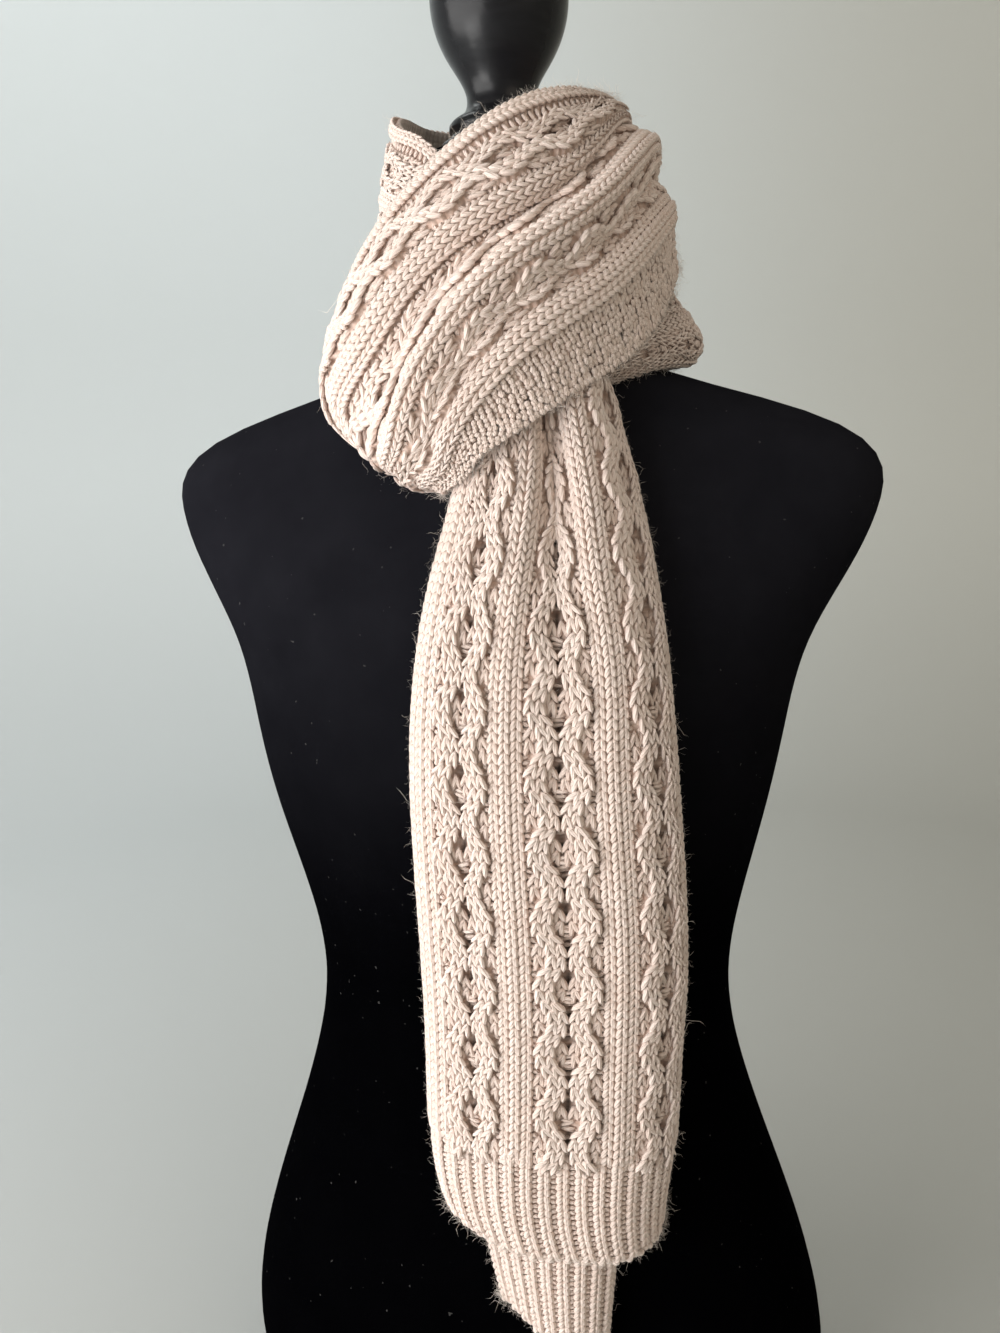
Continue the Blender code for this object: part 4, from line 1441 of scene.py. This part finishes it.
# The lights: their places and aims in metres, widths, heights, watts and colours
DAYLIGHT = (1.0, 0.985, 0.97)
Lamp = namedtuple("Lamp", "name place aim wide tall power colour")
LAMPS = (
    Lamp("window", (-1.22, -1.12, 0.26), (0, -0.05, 0.30), 2.2, 1.7, 65, DAYLIGHT),
    Lamp("sill", (-0.80, -0.95, 0.10), (0.03, -0.12, 0.28), 0.7, 0.5, 8, DAYLIGHT),
    Lamp("room", (1.3, -1.1, 1.3), (0, 0, 0.55), 1.2, 1.2, 5, (1.0, 0.86, 0.70)),
    Lamp("wall_wash", (-0.9, 0.5, 2.2), (-0.5, 1.9, 0.8), 1.2, 0.8, 16, (0.95, 1.0, 1.0)),
)
AIR_COLOUR = (1.0, 0.94, 0.87, 1)
AIR_STRENGTH = 0.60


def backdrop(finish):
    """A round sweep of paper: a flat floor that curves up into a wall all round."""
    profile = [(FLOOR_RADIUS, FLOOR_Z)]
    for k in range(1, SWEEP_STEPS + 1):
        turn = math.pi / 2 * k / SWEEP_STEPS
        rise = SWEEP_BEND * (1 - math.cos(turn))
        profile.append((FLOOR_RADIUS + SWEEP_BEND * math.sin(turn), rise + FLOOR_Z))
    profile.append((FLOOR_RADIUS + SWEEP_BEND, SWEEP_TOP))
    code = bmesh.new()
    middle = code.verts.new((0, 0, FLOOR_Z))
    hoops = [hoop(code, radius, 0.0, height, SWEEP_SIDES) for radius, height in profile]
    for k in range(SWEEP_SIDES):
        j = (k + 1) % SWEEP_SIDES
        code.faces.new((middle, hoops[0][k], hoops[0][j]))
        for low, high in zip(hoops, hoops[1:]):
            code.faces.new((low[k], high[k], high[j], low[j]))
    return link("studio_sweep", smooth_mesh("studio_sweep", code, outward=False), finish)


def soft_light(given):
    lamp = bpy.data.lights.new(given.name, "AREA")
    lamp.shape = "RECTANGLE"
    lamp.size = given.wide
    lamp.size_y = given.tall
    lamp.energy = given.power
    lamp.color = given.colour
    made = bpy.data.objects.new(given.name, lamp)
    bpy.context.scene.collection.objects.link(made)
    made.location = given.place
    aim = Vector(given.aim) - Vector(given.place)
    made.rotation_euler = aim.to_track_quat("-Z", "Y").to_euler()
    made.visible_camera = False


def lights():
    scene = bpy.context.scene
    world = bpy.data.worlds.new("studio_air")
    scene.world = world
    world.use_nodes = True
    air = world.node_tree.nodes["Background"]
    air.inputs[0].default_value = AIR_COLOUR
    air.inputs[1].default_value = AIR_STRENGTH
    for lamp in LAMPS:
        soft_light(lamp)
    scene.view_settings.view_transform = "Standard"
    scene.view_settings.look = "None"


def camera():
    """A phone's view: close, a little above the bust, turned to the form's left."""
    turn, down, roll = (math.radians(angle) for angle in (VIEW_TURN, VIEW_DOWN, VIEW_TIP))
    ahead_flat = Vector((-math.sin(turn), math.cos(turn), 0))
    right = Vector((math.cos(turn), math.sin(turn), 0))
    ahead = ahead_flat * math.cos(down) - Vector((0, 0, math.sin(down)))
    up = right.cross(ahead)
    rolled_right = right * math.cos(roll) + up * math.sin(roll)
    rolled_up = up * math.cos(roll) - right * math.sin(roll)
    aside = VIEW_ASIDE * VIEW_AWAY / VIEW_FOCAL
    place = Vector((0, 0, VIEW_HEIGHT)) - ahead_flat * VIEW_AWAY - right * aside
    lens = bpy.data.cameras.new("camera")
    lens.sensor_fit = "VERTICAL"
    lens.sensor_height = FILM
    lens.sensor_width = FILM
    lens.lens = FILM * VIEW_FOCAL / FRAME_HEIGHT
    lens.clip_start = VIEW_NEAR
    made = bpy.data.objects.new("camera", lens)
    bpy.context.scene.collection.objects.link(made)
    made.matrix_world = Matrix(
        (
            (rolled_right.x, rolled_up.x, -ahead.x, place.x),
            (rolled_right.y, rolled_up.y, -ahead.y, place.y),
            (rolled_right.z, rolled_up.z, -ahead.z, place.z),
            (0, 0, 0, 1),
        )
    )
    bpy.context.scene.camera = made


# ---------------------------------------------------------------- putting it together

SEAM = 0.2  # mm that a stretch's shell stops short of the next
BACK_TAIL_SHOWN = 150.0  # mm of the back tail that need yarn, at its lower end
FRONT_TAIL_TUCKED = 20.0  # mm of the front tail, inside the loop, that need no yarn
RIBS = ("rib", "edge", "ladder", "garter", "hem")
ROPES = ("cable",)

# How finely a stretch's shell is made, in mm, and its yarn's spindles, by sides and rings
Fineness = namedtuple("Fineness", "column line sides rings")
SHOWN_FINE = Fineness(2.7, 3.0, 5, 3)
SIDE_FINE = Fineness(5.0, 6.5, 5, 3)
LOOP_SIDE_FINE = Fineness(5.0, 6.5, 5, 2)
HIDDEN_FINE = Fineness(5.0, 6.5, 4, 2)

# One stretch: its length from low to high; its yarn from first to last across and from
# start down; the flat width of its cloth; and how many loose fibres stand on it
Stretch = namedtuple(
    "Stretch", "node strip low high start first last cut held rests seed fine hairs"
)


def stretches_of_scarf():
    """The scarf's seven stretches, in the order in which its yarn is laid."""
    upper = Strip(UPPER_STRAND, BAND_FOLDS, BAND_PANELS, BAND_REPEAT, BAND_CLUSTER,
                  fullness=UPPER_FULLNESS)
    lower = Strip(LOWER_STRAND, LOWER_FOLDS, TAIL_PANELS, BAND_REPEAT, BAND_CLUSTER)
    front = Strip(FRONT_TAIL, TAIL_FOLDS, TAIL_PANELS, TAIL_REPEAT, TAIL_CLUSTER, HEM_DEPTH,
                  curls=True)
    back = Strip(BACK_TAIL, DOUBLED_FOLDS, TAIL_PANELS, TAIL_REPEAT, BAND_CLUSTER,
                 BACK_HEM_DEPTH)
    band_end, nape_end = upper.along[BAND_ENDS], upper.along[NAPE_ENDS]
    right_end = lower.along[RIGHT_ENDS]
    upper.calm_from = band_end - UPPER_CALM
    lower.calm_from = LOWER_CALM
    on_form = ["form_body"]
    back_start = back.length - BACK_TAIL_SHOWN
    return (
        Stretch("front_band", upper, 0.0, band_end - SEAM, 0.0, 6, 212, 150,
                "draped", [], 11, SHOWN_FINE, 6000),
        Stretch("nape_upper", upper, band_end + SEAM, nape_end - SEAM, band_end + SEAM, 6, 212, 125,
                "draped", [], 12, HIDDEN_FINE, 450),
        Stretch("left_upper", upper, nape_end + SEAM, upper.length, nape_end + SEAM, 6, 212, 125,
                "draped", [], 13, LOOP_SIDE_FINE, 600),
        Stretch("right_lower", lower, 0.0, right_end - SEAM, 0.0, 90, 200, 66,
                "draped", on_form, 14, SIDE_FINE, 500),
        Stretch("nape_lower", lower, right_end + SEAM, lower.length, right_end + SEAM, 110, 200, 62,
                "draped", on_form, 15, HIDDEN_FINE, 300),
        Stretch("front_tail", front, 0.0, front.length, FRONT_TAIL_TUCKED, 6, 200, 155,
                "hung", on_form, 16, SHOWN_FINE, 9000),
        Stretch("back_tail", back, 0.0, back.length, back_start, 6, 104, 160,
                "hung", on_form, 17, SIDE_FINE, 2200),
    )


def make_stretch(stretch, tree, templates, loose, finishes):
    """A stretch's shell, its ribs' and ropes' yarn and its loose fibres, attached to the root in
    place of its part.
    """
    strip, low, high = stretch.strip, stretch.low, stretch.high
    fine, node = stretch.fine, stretch.node
    shell = cloth_shell(
        "cloth_" + node, strip, low, high, finishes["ground"], fine.column, fine.line
    )
    template = templates[fine.sides, fine.rings]
    shown = []
    for label, kinds in (("ribs", RIBS), ("ropes", ROPES)):
        yarn = knit_strip(
            strip, stretch.start, high, stretch.seed, kinds, stretch.first, stretch.last
        )
        if yarn.rows:
            name = f"yarn_{node}_{label}"
            shown.append(laid(name, tree, yarn, template, finishes["yarn"], stretch.seed))
    fuzz = halo(strip, stretch.start, high, stretch.seed + HAIR_SEED_AFTER, stretch.hairs,
                stretch.first, stretch.last)
    shown.append(laid(f"halo_{node}", tree, fuzz, loose, finishes["halo"], HAIR_TONE_SEED))
    for piece in [shell] + shown:
        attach(piece, "root")
    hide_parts(stretch.node)
    flat = (stretch.cut * MM, strip.flat_length(low, high) * MM)


def dress():
    camera()
    lights()
    backdrop(studio_paper())
    finishes = {"yarn": wool_yarn(), "ground": wool_ground(), "halo": wool_halo()}
    body = form_body(black_velour())
    cap = form_cap(black_lacquer())
    for piece, node, slot in ((body, "torso", "jersey"), (cap, "neck_cap", "cap")):
        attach(piece, "root")
        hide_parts(node)
    stretches = stretches_of_scarf()
    tree = laying_tree("lay_yarn")
    loose = fibre("fibre_template")
    templates = {}
    for stretch in stretches:
        key = (stretch.fine.sides, stretch.fine.rings)
        if key not in templates:
            templates[key] = spindle(f"spindle_{key[0]}_{key[1]}", *key)
    for stretch in stretches:
        make_stretch(stretch, tree, templates, loose, finishes)
    for template in [*templates.values(), loose]:
        bpy.data.objects.remove(template)


dress()
